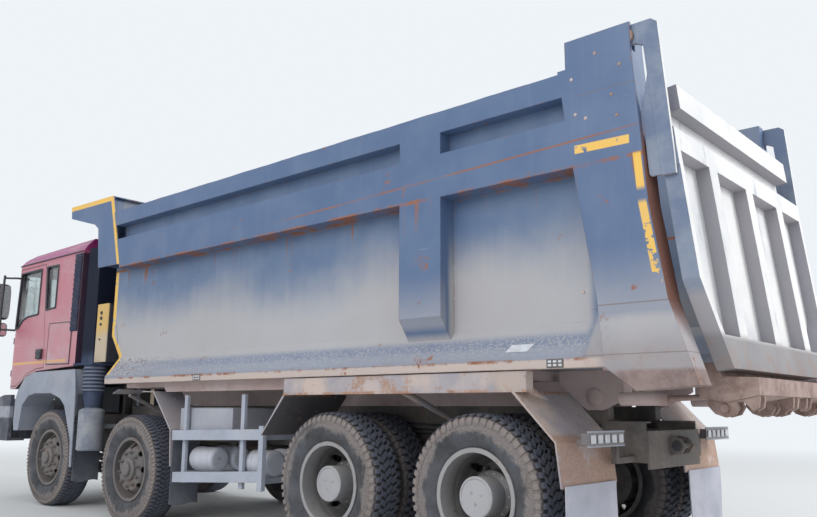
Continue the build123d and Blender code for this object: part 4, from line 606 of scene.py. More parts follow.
def cab_paint(colours):
    """Faded cab paint: magenta-red roof, chalky pink sides, a thin yellow stripe, dust, and painted shade at
    the rear and below.
    """
    f = Finish("cab_red")
    station = f.sum("SUBTRACT", f.y, FIRST_AXLE_Y)
    cloud = f.noise(1.7, 5, 0.6)
    fine = f.noise(70, 4, 0.6)
    red = f.mix(f.ramp(f.z, 2.90, 2.98), colours.cab, colours.roof)
    chalk = f.times(f.sum("MULTIPLY_ADD", cloud, 0.9, -0.05, clamp=True), f.ramp(f.z, 3.0, 2.2))
    streaks = f.ramp(f.noise(1.0, 4, 0.6, stretch=(2, 1.2, 14)), 0.52, 0.68)
    colour = f.mix(f.times(f.either(chalk, f.times(streaks, 0.5)), 0.75), red, (0.56, 0.30, 0.31))
    lock = f.times(f.band(station, -0.34, 0.22, 0.01), f.band(f.z, 1.62, 2.11, 0.01),
                   f.ramp(f.noise(1.3, 4, 0.6), 0.4, 0.62))
    colour = f.mix(f.times(lock, 0.6), colour, (0.47, 0.36, 0.40))
    stripe = f.times(f.band(f.z, 1.638, 1.672, 0.002), f.ramp(station, 0.16, 0.13), f.ramp(f.side, 1.0, 1.05))
    colour = f.mix(f.times(stripe, f.ramp(f.noise(11, 4, 0.7), 0.32, 0.42)), colour, (0.66, 0.33, 0.10))
    dusty, cover = dusted(f, colour, (0.45, 0.37, 0.38), 0.45, 0.45)
    clean = f.ramp(f.z, 2.88, 2.95)
    colour = f.mix(f.times(clean, 0.85), dusty, colour)
    low = f.times(f.ramp(f.z, 1.75, 1.35), f.ramp(cloud, 0.3, 0.7))
    colour = f.mix(f.times(low, 0.45), colour, (0.40, 0.33, 0.32))
    # painted shade: the rear wall below the roof, between cab and body, is near-black
    rear = f.times(f.ramp(f.facing_y, 0.4, 0.6), f.ramp(f.z, 2.94, 2.91))
    colour = f.mix(f.times(rear, 0.92), colour, (0.016, 0.020, 0.042))
    # painted shade: what faces down, and the parts below the floor, are near-black
    under = f.either(f.ramp(f.facing_up, -0.5, -0.8), f.ramp(f.z, 1.345, 1.335))
    colour = f.mix(f.times(under, 0.93), colour, (0.022, 0.022, 0.028))
    rough = f.sum("MULTIPLY_ADD", cover, 0.35, 0.34, clamp=True)
    normal = f.bump(fine, 0.0006, 0.4, normal=f.rounded(0.012))
    return f.done(colour, rough, normal=normal, Coat_Weight=0.25, Coat_Roughness=0.25)


def steel_paint(name, colour, dust, amount, rough=0.6, rust=0.15, metallic=0.0, shade_above=None,
                shade_inside=None):
    """Painted steel of the running gear: dust on top, rust in patches and on edges, painted shade above a
    height or deep inside a wheel."""
    f = Finish(name)
    cloud = f.noise(3.0, 6, 0.65)
    base = f.mix(f.ramp(cloud, 0.35, 0.7), colour, tuple(0.72 * c + 0.05 for c in colour))
    shade, cover = dusted(f, base, dust, amount)
    spots = f.times(f.ramp(f.noise(5.5, 5, 0.7), 0.66 - 0.2 * rust, 0.74 - 0.2 * rust),
                    f.ramp(f.noise(60, 4, 0.7), 0.4, 0.6))
    edges = f.times(f.edges(0.01), f.ramp(f.noise(9, 4, 0.7), 0.5, 0.62), 0.5 + rust)
    shade = f.mix(f.either(spots, edges), shade, (0.20, 0.10, 0.065))
    # painted shade above the given height
    if shade_above:
        shade = f.mix(f.times(f.ramp(f.z, shade_above, shade_above + 0.02), 0.3), shade, (0.02, 0.02, 0.035))
    # painted shade towards the inside of the wheel
    if shade_inside:
        deep = f.times(f.ramp(f.side, shade_inside + 0.13, shade_inside),
                       f.sum("MULTIPLY_ADD", cloud, 0.6, 0.45, clamp=True))
        shade = f.mix(deep, shade, (0.05, 0.045, 0.045))
    normal = f.bump(f.sum("ADD", f.noise(85, 4, 0.65), f.times(cover, 0.6)), 0.0012, 0.5,
                    normal=f.rounded(0.006))
    roughness = f.sum("MULTIPLY_ADD", cover, 0.25, rough, clamp=True)
    return f.done(shade, roughness, normal=normal, Metallic=metallic)


def tyre_rubber(colours):
    """Tyre rubber: dried mud in rings and patches, painted shade on inner twins; 'reach' is 0 at the rim and
    1 at the tread.
    """
    f = Finish("tyre_rubber")
    reach = f.add("ShaderNodeAttribute", {"attribute_name": "reach"}).outputs["Fac"]
    cloud = f.noise(5.0, 6, 0.7)
    fine = f.noise(95, 5, 0.7)
    rubber = f.mix(f.ramp(cloud, 0.3, 0.7), (0.032, 0.033, 0.036), (0.075, 0.076, 0.082))
    outer = f.ramp(f.sum("ADD", reach, f.sum("MULTIPLY_ADD", cloud, 0.9, -0.45)), 0.42, 0.58)
    mud = f.times(outer, f.sum("MULTIPLY_ADD", fine, 0.5, 0.62, clamp=True),
                  f.ramp(f.noise(2.2, 4, 0.6), 0.25, 0.45))
    film = f.times(f.ramp(f.noise(3.4, 5, 0.65), 0.35, 0.65), 0.45)
    colour = f.mix(film, rubber, (0.14, 0.145, 0.17))
    colour = f.mix(f.times(mud, 0.88), colour,
                   f.mix(f.ramp(fine, 0.3, 0.7), (0.16, 0.14, 0.135), colours.mud))
    shoulder = f.times(f.band(reach, 0.76, 0.90, 0.03), f.sum("MULTIPLY_ADD", cloud, 0.5, 0.35, clamp=True))
    colour = f.mix(f.times(shoulder, 0.7), colour, colours.mud)
    groove = f.times(f.ramp(reach, 0.89, 0.915), f.ramp(reach, 0.965, 0.945))
    colour = f.mix(f.times(groove, 0.8), colour, (0.03, 0.033, 0.045))
    tread = f.times(f.ramp(reach, 0.95, 0.975), f.sum("MULTIPLY_ADD", cloud, 0.5, 0.55, clamp=True))
    colour = f.mix(tread, colour, (0.075, 0.092, 0.135))
    # painted shade: the inner twins, nearer the middle, are darkened
    colour = f.mix(f.times(f.ramp(f.side, 0.93, 0.91), 0.55), colour, (0.012, 0.013, 0.018))
    normal = f.bump(f.sum("ADD", f.times(fine, 1.4), f.times(f.noise(16, 4, 0.7), 2.0)), 0.0025, 0.7)
    return f.done(colour, 0.88, normal=normal)


def plain_plastic(name, colour, rough=0.5, dust=(0.28, 0.28, 0.28), amount=0.4):
    """Moulded plastic with a fine grain under a film of dust."""
    f = Finish(name)
    grain = f.noise(210, 3, 0.6)
    base = f.mix(f.ramp(f.noise(4.0, 5, 0.6), 0.35, 0.7), colour, tuple(0.8 * c + 0.03 for c in colour))
    shade, cover = dusted(f, base, dust, amount)
    normal = f.bump(grain, 0.0005, 0.5, normal=f.rounded(0.006))
    return f.done(shade, f.sum("MULTIPLY_ADD", cover, 0.3, rough, clamp=True), normal=normal)


def guard_paint(colours):
    """Bogie guards: pale dusty paint with peach earth and painted shade; the rearmost sheet has a rust patch
    at its foot.
    """
    f = Finish("guard_paint")
    station = f.sum("SUBTRACT", f.y, FIRST_AXLE_Y)
    cloud, fine = f.noise(3.1, 6, 0.65), f.noise(55, 5, 0.7)
    paint = f.mix(f.ramp(cloud, 0.35, 0.7), (0.33, 0.31, 0.34), (0.42, 0.37, 0.37))
    bogie = f.ramp(station, 3.6, 3.8)
    colour = f.mix(f.times(bogie, f.ramp(f.noise(1.6, 5, 0.65), 0.42, 0.62)), paint, colours.earth)
    # painted shade: the rearmost guards' faces turned forwards, under the body, are darkened
    under = f.times(f.ramp(f.facing_y, 0.3, -0.2), f.ramp(station, 6.3, 6.4))
    colour = f.mix(f.times(under, 0.35), colour, (0.14, 0.12, 0.12))
    # painted shade: the rear-facing inner faces of the sheet ahead of the bogie are near-black
    leg = f.times(f.ramp(f.facing_y, 0.2, 0.5), f.band(station, 3.85, 4.32, 0.02))
    colour = f.mix(f.times(leg, 0.85), colour, (0.05, 0.048, 0.055))
    patch = f.times(f.ramp(station, 6.78, 6.81), f.ramp(f.facing_y, 0.2, 0.6),
                    f.ramp(f.noise(5, 5, 0.7), 0.34, 0.50))
    edge = f.times(f.band(f.z, 1.205, 1.232, 0.008), bogie, f.ramp(f.noise(6, 5, 0.75), 0.42, 0.55))
    middle = f.times(f.band(station, 4.9, 5.75, 0.15), f.ramp(f.noise(7, 5, 0.75), 0.48, 0.58), bogie,
                     f.ramp(f.z, 1.2, 1.22))
    spots = f.times(f.ramp(f.noise(14, 5, 0.7), 0.58, 0.66), bogie)
    rust = f.either(f.times(patch, 0.75), edge, f.times(middle, 0.8), f.times(spots, 0.6))
    colour = f.mix(rust, colour, f.mix(f.ramp(fine, 0.35, 0.65), (0.30, 0.17, 0.12), (0.42, 0.26, 0.18)))
    return f.done(colour, 0.75,
                  normal=f.bump(f.sum("ADD", fine, cloud), 0.0015, 0.5, normal=f.rounded(0.004)))


def underframe_steel():
    """The body's underframe: pinkish dust over rust, browner towards the tail."""
    f = Finish("underframe_steel")
    cloud, fine = f.noise(3, 6, 0.65), f.noise(55, 5, 0.7)
    earth = f.mix(f.ramp(cloud, 0.35, 0.7), (0.54, 0.43, 0.42), (0.42, 0.31, 0.29))
    dusty, _ = dusted(f, earth, (0.58, 0.49, 0.47), 0.7)
    brown = f.mix(f.ramp(f.noise(7, 5, 0.7), 0.35, 0.65), (0.33, 0.235, 0.20), (0.17, 0.10, 0.08))
    colour = f.mix(f.times(f.ramp(f.y, at(7.1), at(7.35)), 0.85), dusty, brown)
    edge = f.times(f.edges(0.01), f.ramp(f.noise(9, 4, 0.7), 0.5, 0.62))
    colour = f.mix(edge, colour, (0.24, 0.11, 0.07))
    return f.done(colour, 0.8, normal=f.bump(f.sum("ADD", fine, cloud), 0.0015, 0.5, normal=f.rounded(0.006)))


def intake_plastic():
    """The air intake: nearly black where it stands in the cab's shade, dusty grey over its bellows."""
    f = Finish("intake_plastic")
    cloud, fine = f.noise(4, 6, 0.65), f.noise(70, 5, 0.65)
    low = f.ramp(f.z, 1.78, 1.60)
    grey = f.mix(f.ramp(cloud, 0.35, 0.65), (0.030, 0.042, 0.085), (0.075, 0.095, 0.15))
    dust = f.times(low, f.ramp(f.facing_up, 0.1, 0.8), 0.55)
    colour = f.mix(dust, f.mix(low, f.mix(cloud, (0.004, 0.007, 0.020), (0.012, 0.017, 0.034)), grey),
                   (0.30, 0.31, 0.36))
    colour = f.mix(f.ramp(f.z, 1.12, 1.08), colour,
                   f.mix(f.ramp(cloud, 0.35, 0.65), (0.20, 0.22, 0.27), (0.33, 0.34, 0.37)))
    return f.done(colour, f.sum("MULTIPLY_ADD", low, 0.1, 0.75), Specular_IOR_Level=0.2,
                  normal=f.bump(fine, 0.0008, 0.5, normal=f.rounded(0.006)))


def tank_yellow():
    """The control box: worn yellow on its outer face, paler low down, and painted shade on its other sides.
    """
    f = Finish("tank_yellow")
    cloud, fine = f.noise(6, 5, 0.65), f.noise(60, 5, 0.65)
    yellow = f.mix(f.ramp(f.sum("ADD", f.z, f.times(cloud, 0.2)), 2.12, 1.95), (0.60, 0.40, 0.14),
                   (0.50, 0.41, 0.30))
    # painted shade: every face but the outer one is dark
    face = f.ramp(f.facing_x, 0.4, 0.6)
    colour = f.mix(face, f.mix(cloud, (0.02, 0.022, 0.035), (0.06, 0.06, 0.075)), yellow)
    return f.done(colour, 0.7, normal=f.bump(fine, 0.0008, 0.5, normal=f.rounded(0.008)))


def bumper_paint():
    """The bumper: dark at its ends and foot, with a lighter band along its middle."""
    f = Finish("bumper_paint")
    cloud, fine = f.noise(4, 6, 0.65), f.noise(60, 5, 0.65)
    dark = f.mix(f.ramp(cloud, 0.35, 0.65), (0.035, 0.04, 0.06), (0.09, 0.095, 0.12))
    light = f.mix(f.ramp(cloud, 0.35, 0.65), (0.25, 0.27, 0.33), (0.36, 0.36, 0.40))
    band = f.either(f.band(f.z, 0.98, 1.12, 0.01),
                    f.times(f.ramp(f.side, 1.22, 1.15), f.ramp(f.z, 0.86, 0.90)))
    colour, _ = dusted(f, f.mix(band, dark, light), (0.42, 0.41, 0.44), 0.4)
    return f.done(colour, 0.6, normal=f.bump(fine, 0.0008, 0.5, normal=f.rounded(0.006)))


def dusty_glass():
    """Window glass with a greenish tint under a thin, patchy film of dust."""
    f = Finish("cab_glass")
    film = f.times(f.ramp(f.noise(2.4, 5, 0.65), 0.3, 0.75), 0.35)
    normal = f.bump(f.noise(0.9, 2, 0.4), 0.004, 0.3)
    glass = f.add("ShaderNodeBsdfPrincipled", Base_Color=(0.80, 0.88, 0.88), Roughness=0.02, IOR=1.45,
                  Transmission_Weight=1.0, Normal=normal)
    veil = f.add("ShaderNodeBsdfPrincipled", Base_Color=(0.50, 0.50, 0.49), Roughness=0.9)
    return f.blended(film, glass, veil)


def lamp_lens(name, colour, rear=None):
    """A ribbed lens: fine waves across X raise it; what faces the rear can have a shade of its own."""
    f = Finish(name)
    wave = f.sum("SINE", f.times(f.x, 300.0))
    base = f.mix(f.times(f.ramp(f.noise(12, 4, 0.6), 0.4, 0.7), 0.4), colour, (0.45, 0.42, 0.40))
    if rear:
        base = f.mix(f.either(f.ramp(f.facing_y, 0.4, 0.7), f.ramp(f.facing_x, 0.4, 0.7)), base, rear)
    return f.done(base, 0.25, normal=f.bump(wave, 0.0015, 0.6), Coat_Weight=0.4)


def chrome_rod():
    """Polished hoist stages with faint oil."""
    f = Finish("hoist_chrome")
    oil = f.ramp(f.noise(6, 4, 0.6), 0.5, 0.7)
    return f.done(f.mix(oil, (0.75, 0.75, 0.76), (0.5, 0.49, 0.46)), f.sum("MULTIPLY_ADD", oil, 0.2, 0.15),
                  Metallic=1.0)


def seat_cloth():
    """Woven seat cloth: crossing threads from two fine waves, in two dark greys."""
    f = Finish("seat_fabric")
    threads = f.times(f.sum("SINE", f.times(f.x, 2600.0)),
                      f.sum("SINE", f.times(f.sum("ADD", f.y, f.z), 2600.0)))
    colour = f.mix(f.ramp(f.noise(9, 4, 0.6), 0.3, 0.7), (0.06, 0.065, 0.08), (0.11, 0.11, 0.12))
    return f.done(colour, 0.9, normal=f.bump(threads, 0.0006, 0.6), Sheen_Weight=0.3, Sheen_Roughness=0.5)


def make_materials(c):
    """Makes every finish; CAD nodes and new pieces name them."""
    body_paint(c)
    gate_paint(c)
    cab_paint(c)
    tyre_rubber(c)
    dusty_glass()
    chrome_rod()
    seat_cloth()
    dust = tuple(c.dust)
    brown = (0.22, 0.185, 0.16)
    steel_paint("frame_steel", (0.060, 0.057, 0.058), brown, 0.75, rust=0.3)
    steel_paint("rim_steel", (0.33, 0.325, 0.33), (0.38, 0.35, 0.33), 0.6, rough=0.5, rust=0.25, metallic=0.2,
                shade_inside=0.99)
    steel_paint("front_rim_steel", (0.15, 0.14, 0.14), (0.24, 0.20, 0.18), 0.6, rough=0.6, rust=0.35,
                metallic=0.2)
    steel_paint("hub_steel", (0.40, 0.40, 0.42), (0.42, 0.40, 0.38), 0.5, rough=0.5, rust=0.15, metallic=0.2)
    steel_paint("engine_iron", (0.09, 0.09, 0.09), brown, 0.6, rust=0.2)
    steel_paint("wing_grey", (0.28, 0.31, 0.38), (0.42, 0.41, 0.44), 0.55, rust=0.0)
    bumper_paint()
    steel_paint("rack_paint", (0.39, 0.42, 0.50), (0.50, 0.48, 0.50), 0.55, rust=0.05)
    steel_paint("tank_paint", (0.54, 0.56, 0.63), (0.58, 0.56, 0.57), 0.6, rust=0.06, shade_above=0.80)
    guard_paint(c)
    tank_yellow()
    steel_paint("silencer_steel", (0.20, 0.19, 0.18), brown, 0.5, rust=0.5, metallic=0.4)
    steel_paint("fuel_tank_metal", (0.45, 0.45, 0.46), dust, 0.4, rough=0.4, rust=0.0, metallic=0.9)
    steel_paint("hoist_paint", (0.045, 0.045, 0.05), brown, 0.4)
    underframe_steel()
    plain_plastic("dark_plastic", (0.022, 0.024, 0.032), amount=0.25)
    plain_plastic("louvre_plastic", (0.010, 0.016, 0.048), 0.7, (0.12, 0.14, 0.20), 0.25)
    plain_plastic("flap_rubber", (0.09, 0.10, 0.125), 0.8, (0.26, 0.26, 0.27), 0.5)
    plain_plastic("pale_flap", (0.40, 0.41, 0.48), 0.8, (0.56, 0.55, 0.59), 0.6)
    intake_plastic()
    lamp_lens("lamp_plastic", (0.62, 0.58, 0.54), rear=(0.15, 0.135, 0.14))
    lamp_lens("lamp_amber", (0.62, 0.25, 0.05))
    f = Finish("reflector_white")
    f.done(f.mix(f.ramp(f.noise(20, 4, 0.6), 0.4, 0.8), (0.60, 0.62, 0.66), (0.45, 0.44, 0.45)), 0.35)


NODE_FINISH = {
    "bed_tub": "body_grey",
    "headboard": "body_grey",
    "tailgate": "gate_dust",
    "bed_underframe": "underframe_steel",
    "cab_shell": "cab_red",
    "door_left": "cab_red",
    "door_right": "cab_red",
    "cab_glass": "cab_glass",
    "door_glass_left": "cab_glass",
    "door_glass_right": "cab_glass",
    "grille": "dark_plastic",
    "dashboard": "dark_plastic",
    "front_wings": "wing_grey",
    "bumper": "bumper_paint",
    "lamps": "lamp_plastic",
    "air_intake": "intake_plastic",
    "oil_tank": "tank_yellow",
    "side_rack": "rack_paint",
    "air_tanks": "tank_paint",
    "mudguards": "guard_paint",
    "mud_flaps": "flap_rubber",
    "silencer": "silencer_steel",
    "fuel_tank": "fuel_tank_metal",
    "engine": "engine_iron",
    "hoist_tube": "hoist_paint",
}


def finish_of(node):
    """The finish of a CAD node that stays visible."""
    if node in NODE_FINISH:
        return NODE_FINISH[node]
    if node.startswith(("rim", "rims")):
        return "front_rim_steel" if node.startswith(("rim_1", "rim_2")) else "rim_steel"
    if node.startswith("hoist_stage"):
        return "hoist_chrome"
    if node.startswith("mirror"):
        return "dark_plastic"
    return "frame_steel"


# Wheels

def wheel_centres():
    """Yields (key of its nodes, side, station, centre's height, its tyres' middles in X) for each wheel."""
    for axle in (1, 2):
        for hand, side in SIDES.items():
            z = TYRE_RADIUS - (FLAT_SAG if (axle, hand) == FLAT_WHEEL else 0)
            yield f"{axle}_{hand}", side, AXLES[axle], z, [side * FRONT_WHEEL_X]
    for axle in (3, 4):
        for hand, side in SIDES.items():
            twin = [side * (REAR_WHEEL_X + k * TWIN_STEP / 2) for k in (1, -1)]
            yield f"{axle}_{hand}", side, AXLES[axle], TYRE_RADIUS, twin


def lugs(form, xs, tops, count, phase, width, skew, base_drop=0.03):
    """A row of tread blocks. Each is a section of six points (foot, edge, top, top, edge, foot) carried over
    stations x; a point is (x, r cos a, r sin a), with a = the block's angle + half width + skew * x."""
    xs, tops = np.asarray(xs, dtype=float), np.asarray(tops, dtype=float)
    sides = np.array([-1.1, -1.0, -0.84, 0.84, 1.0, 1.1])
    drop = np.array([base_drop, 0.004, 0.0, 0.0, 0.004, base_drop])
    middle = (np.arange(count) + phase) * 2 * pi / count
    half = width * pi / count
    angle = middle[:, None, None] + half * sides[None, None, :] + skew * (xs - xs[0])[None, :, None]
    radius = tops[None, :, None] - drop[None, None, :]
    points = np.stack([np.broadcast_to(xs[None, :, None], angle.shape), radius * np.cos(angle),
                       radius * np.sin(angle)], axis=-1)
    rows = len(xs)
    ends = [np.arange(6)[None, :], (np.arange(6) + 6 * (rows - 1))[None, :]]
    return form.repeat(points.reshape(count, rows * 6, 3), grid_quads(rows, 6), *ends)


def tyre_form(radius, half_width, blocks_round, groove=0.016, steps=96):
    """A tyre about the X axis at the origin: a revolved carcass with five rows of blocks on its crown."""
    form = Form()
    r, w = radius, half_width
    half = [(0.114, 0.300), (0.117, 0.322), (0.133, 0.338), (0.136, 0.342), (0.146, 0.360), (0.148, 0.362),
            (w - 0.003, 0.395), (w, 0.418), (w - 0.002, 0.444), (w - 0.003, 0.447), (w - 0.008, 0.466),
            (w - 0.014, r - 0.045), (w - 0.026, r - groove - 0.012), (w - 0.05, r - groove - 0.004),
            (w * 0.4, r - groove - 0.001), (0.0, r - groove)]
    profile = half + [(-x, rr) for x, rr in half[-2::-1]]
    profile += [(-0.10, 0.296), (0.10, 0.296)]
    along, ring = np.asarray(profile).T
    t = np.linspace(0, 2 * pi, steps, endpoint=False)
    points = np.stack([np.repeat(along[:, None], steps, 1), ring[:, None] * np.cos(t),
                       ring[:, None] * np.sin(t)], -1)
    form.add(points, grid_quads(len(along), steps, closed=True, ring=True))
    n = blocks_round
    for s, phase in ((1, 0.0), (-1, 0.5)):
        xs = np.array([0.086, 0.112, w - 0.026, w - 0.012, w - 0.006, w - 0.004]) * s
        tops = [r, r - 0.002, r - 0.009, r - 0.022, r - 0.036, r - 0.046]
        lugs(form, xs, tops, n, phase, 0.60, 0.0)
        lugs(form, [0.034 * s, 0.056 * s, 0.079 * s], [r, r, r], n, phase + 0.25, 0.66, 0.7 * s)
    lugs(form, [-0.026, 0.0, 0.026], [r, r, r], n, 0.0, 0.68, -1.1)
    return form


def settle(points, centre_z):
    """Presses a wheel's lowest points onto the ground and spreads them sideways where they are pressed.

    Height h is kept above a soft floor: h' = max(h, 0) + s log(1 + exp(-|h|/s)); the side bulge grows with
    how near the ground a point is and falls off along the wheel."""
    points = points.copy()
    height = points[:, 2] + centre_z
    soft = 0.012
    pressed = np.maximum(height, 0) + soft * np.log1p(np.exp(-np.abs(height) / soft)) * 0.35
    along = np.exp(-(points[:, 1] / 0.30) ** 2)
    reach = np.hypot(points[:, 1], points[:, 2])
    bulge = 0.20 * along * np.exp(-np.maximum(height, 0) / 0.13) * (reach > 0.33)
    points[:, 0] *= 1 + bulge
    points[:, 2] = np.where(points[:, 2] < 0, pressed - centre_z, points[:, 2])
    return points


def add_reach(piece, centre_y, centre_z, radius):
    """Stores how far out on its wheel each point is, 0 at the rim and 1 at the tread."""
    mesh = piece.data
    co = np.empty(len(mesh.vertices) * 3)
    mesh.vertices.foreach_get("co", co)
    co = co.reshape(-1, 3)
    outwards = np.hypot(co[:, 1] - centre_y, co[:, 2] - centre_z) - BEAD_RADIUS
    reach = outwards / (radius - BEAD_RADIUS)
    mesh.attributes.new("reach", "FLOAT", "POINT").data.foreach_set("value", np.clip(reach, 0, 1))


def build_tyres(settings):
    """Treaded tyres in place of the plain ones."""
    coarse = tyre_form(settings.radius, settings.half_width, settings.blocks)
    fine = tyre_form(settings.radius, settings.half_width, settings.front_blocks, 0.011)
    for key, side, station, z, middles in wheel_centres():
        form = fine if len(middles) == 1 else coarse
        unit = np.concatenate(form.points)
        node = ("tyre_" if len(middles) == 1 else "tyres_") + key
        flat = key == f"{FLAT_WHEEL[0]}_{FLAT_WHEEL[1]}"
        made = Form()
        for number, middle in enumerate(middles):
            turn = 0.37 * number + 0.9 * station
            c, s = cos(turn), sin(turn)
            points = unit @ np.array([[1, 0, 0], [0, c, s], [0, -s, c]])
            if flat:
                points = settle(points, z)
            # the right side's tyre is the left one turned half round, so its faces stay outwards
            points = points * (side, side, 1)
            made.copied(form, points + (middle, at(station), z))
        piece = made.piece(f"treaded_{node}", f"wheel_{key}", "tyre_rubber", 35)
        add_reach(piece, at(station), z, settings.radius)
        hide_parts(node)


def build_wheel_fittings():
    """Nuts, hub bolts, the cap's rim and the lock ring of each wheel."""
    for key, side, station, z, middles in wheel_centres():
        centre = (middles[0], at(station), z)
        nuts, hub = Form(), Form()
        out = (side, 0, 0)
        front = len(middles) == 1
        face = FRONT_WHEEL_X + 0.112 if front else REAR_WHEEL_X + 0.014
        ring = FRONT_NUT_CIRCLE if front else REAR_NUT_CIRCLE
        # ten nuts, each with its stud's end standing out of it
        bolt_heads(nuts, ring_places((side * face, centre[1], z), ring, 10, 0.2), out, 0.0165, 0.030)
        studs = ring_places((side * (face + 0.028), centre[1], z), ring, 10, 0.2)
        bolt_heads(nuts, studs, out, 0.009, 0.014, 10)
        if front:
            hub_face = FRONT_WHEEL_X + 0.135
            bolt_heads(hub, ring_places((side * hub_face, centre[1], z), 0.097, 10), out, 0.008, 0.008)
            cap = [(0.0, 0.070), (0.022, 0.070), (0.034, 0.058), (0.036, 0.02), (0.036, 0.001)]
            side_turned(hub, cap, side, FRONT_WHEEL_X + 0.145, centre[1], z, 40)
        else:
            hub_face = REAR_WHEEL_X + 0.11
            bolt_heads(hub, ring_places((side * hub_face, centre[1], z), 0.143, 14), out, 0.009, 0.010)
            cap_face = REAR_WHEEL_X + 0.284
            cap = [(-0.15, 0.001), (-0.15, 0.127), (-0.03, 0.133), (0.003, 0.134), (0.009, 0.128),
                   (0.009, 0.119), (0.004, 0.115), (0.004, 0.001)]
            side_turned(hub, cap, side, cap_face, centre[1], z, 56)
            screws = ring_places((side * (cap_face + 0.002), centre[1], z), 0.045, 3, 0.4)
            bolt_heads(hub, screws, out, 0.008, 0.006)
        lip = [(0.117, 0.289), (0.122, 0.305), (0.127, 0.3185), (0.1275, 0.312), (0.126, 0.296),
               (0.122, 0.285)]
        side_turned(nuts, lip, side, abs(middles[0]), centre[1], z, 72)
        nuts.piece(f"wheel_nuts_{key}", f"wheel_{key}", "front_rim_steel" if front else "rim_steel", 30)
        hub.piece(f"hub_fittings_{key}", f"wheel_{key}", "front_rim_steel" if front else "hub_steel", 30)


# Cab pieces

def cab_side_x(station):
    """The cab side's X at a station: flat, then a quarter circle round the front corner."""
    y = np.asarray(station, dtype=float)
    into = np.clip((CAB_FRONT + CAB_CORNER) - y, 0, CAB_CORNER)
    return CAB_X - CAB_CORNER + np.sqrt(CAB_CORNER ** 2 - into ** 2)


def filled(points, step=0.04):
    """More points along an outline's straight runs, about a step apart."""
    points = np.asarray(points, dtype=float)
    runs = np.linalg.norm(np.diff(points, axis=0), axis=1)
    s = np.concatenate([[0], np.cumsum(runs)])
    t = np.unique(np.concatenate([np.linspace(0, s[-1], max(2, int(s[-1] / step))), s]))
    return np.stack([np.interp(t, s, points[:, k]) for k in range(points.shape[1])], axis=1)


DOOR_WINDOW = [(-1.344, 2.112), (-1.25, 2.122), (-1.13, 2.215), (-1.0, 2.25), (-0.70, 2.262), (-0.70, 2.842),
               (-1.284, 2.836)]
REAR_PANE = [(-0.488, 2.30), (-0.24, 2.312), (-0.24, 2.842), (-0.548, 2.848)]


def side_seal(form, side, outline, radius, proud=0.001):
    """A rubber seal: a tube along a closed side outline, lying on the cab's skin."""
    line = filled([*outline, outline[0]])
    tube(form, row(side * (cab_side_x(line[:, 0]) + proud), at(line[:, 0]), line[:, 1]), radius, 8)


def build_cab_trim():
    """Seals, drip rails, louvres, locker doors and handles of both cab sides."""
    for hand, side in SIDES.items():
        seals, door_seals, louvres, locker, handle = Form(), Form(), Form(), Form(), Form()
        side_seal(door_seals, side, DOOR_WINDOW, 0.013)
        side_seal(seals, side, REAR_PANE, 0.013)
        # drip rail along the roof's foot
        rail = np.linspace(-1.36, 0.36, 30)
        tube(seals, row(side * (cab_side_x(rail) + 0.004), at(rail), 2.945), 0.009, 8)
        # louvred strip at the cab's rear edge
        blocks(louvres, [(side * (CAB_X + 0.006), at(0.288), 2.455)], [(0.012, 0.165, 0.93)], 0.004)
        heights = np.arange(2.02, 2.90, 0.058)
        places = row(side * (CAB_X + 0.015), at(0.288), heights)
        tilt = side * 0.15
        slope = np.array([[cos(tilt), 0, sin(tilt)], [0, 1, 0], [-sin(tilt), 0, cos(tilt)]])
        blocks(louvres, places, (0.008, 0.158, 0.050), 0.003, slope)
        # locker door below the bunk, with a gasket round it
        outline = [(at(-0.353), 1.625), (at(0.225), 1.612), (at(0.232), 2.06), (at(0.19), 2.105),
                   (at(-0.353), 2.118)]
        side_plate(locker, outline, side, CAB_X, CAB_X + 0.007, 0.003)
        gasket = np.array([*outline, outline[0]])
        tube(seals, row(side * (CAB_X + 0.001), gasket[:, 0], gasket[:, 1]), 0.009, 6)
        # door handle, its pull over a recess
        blocks(handle, [(side * 1.137, at(-0.55), 1.755)], (0.034, 0.13, 0.125), 0.008)
        blocks(handle, [(side * 1.156, at(-0.55), 1.775)], (0.012, 0.105, 0.035), 0.004)
        seals.piece(f"cab_seals_{hand}", "cab", "dark_plastic")
        louvres.piece(f"cab_louvres_{hand}", "cab", "louvre_plastic")
        locker.piece(f"locker_door_{hand}", "cab", "cab_red")
        door_seals.piece(f"window_seal_{hand}", f"door_{hand}_body", "dark_plastic")
        handle.piece(f"door_handle_{hand}", f"door_{hand}_body", "dark_plastic")


def rounded_shell(form, centre, half, power=4.0, crown=0.0, rows=20, columns=40):
    """A superellipsoid: p = c + h * (cos v^e cos u^e, cos v^e sin u^e, sin v^e), e = 2 / power, signs kept.

    A crown swells its top and bottom: z' = z (1 - crown + crown cos(x pi/2) cos(y pi/2))."""
    v = np.linspace(-pi / 2 + 0.02, pi / 2 - 0.02, rows)[:, None]
    u = np.linspace(0, 2 * pi, columns, endpoint=False)[None, :]
    x, y, z = (np.sign(value) * np.abs(value) ** (2.0 / power)
               for value in (np.cos(v) * np.cos(u), np.cos(v) * np.sin(u), np.sin(v) * np.ones_like(u)))
    z = z * (1 - crown + crown * np.cos(x * pi / 2) * np.cos(y * pi / 2))
    points = np.stack([x, y, z], axis=-1) * np.asarray(half) + np.asarray(centre)
    return form.add(points, grid_quads(rows, columns, closed=True), caps(rows, columns))


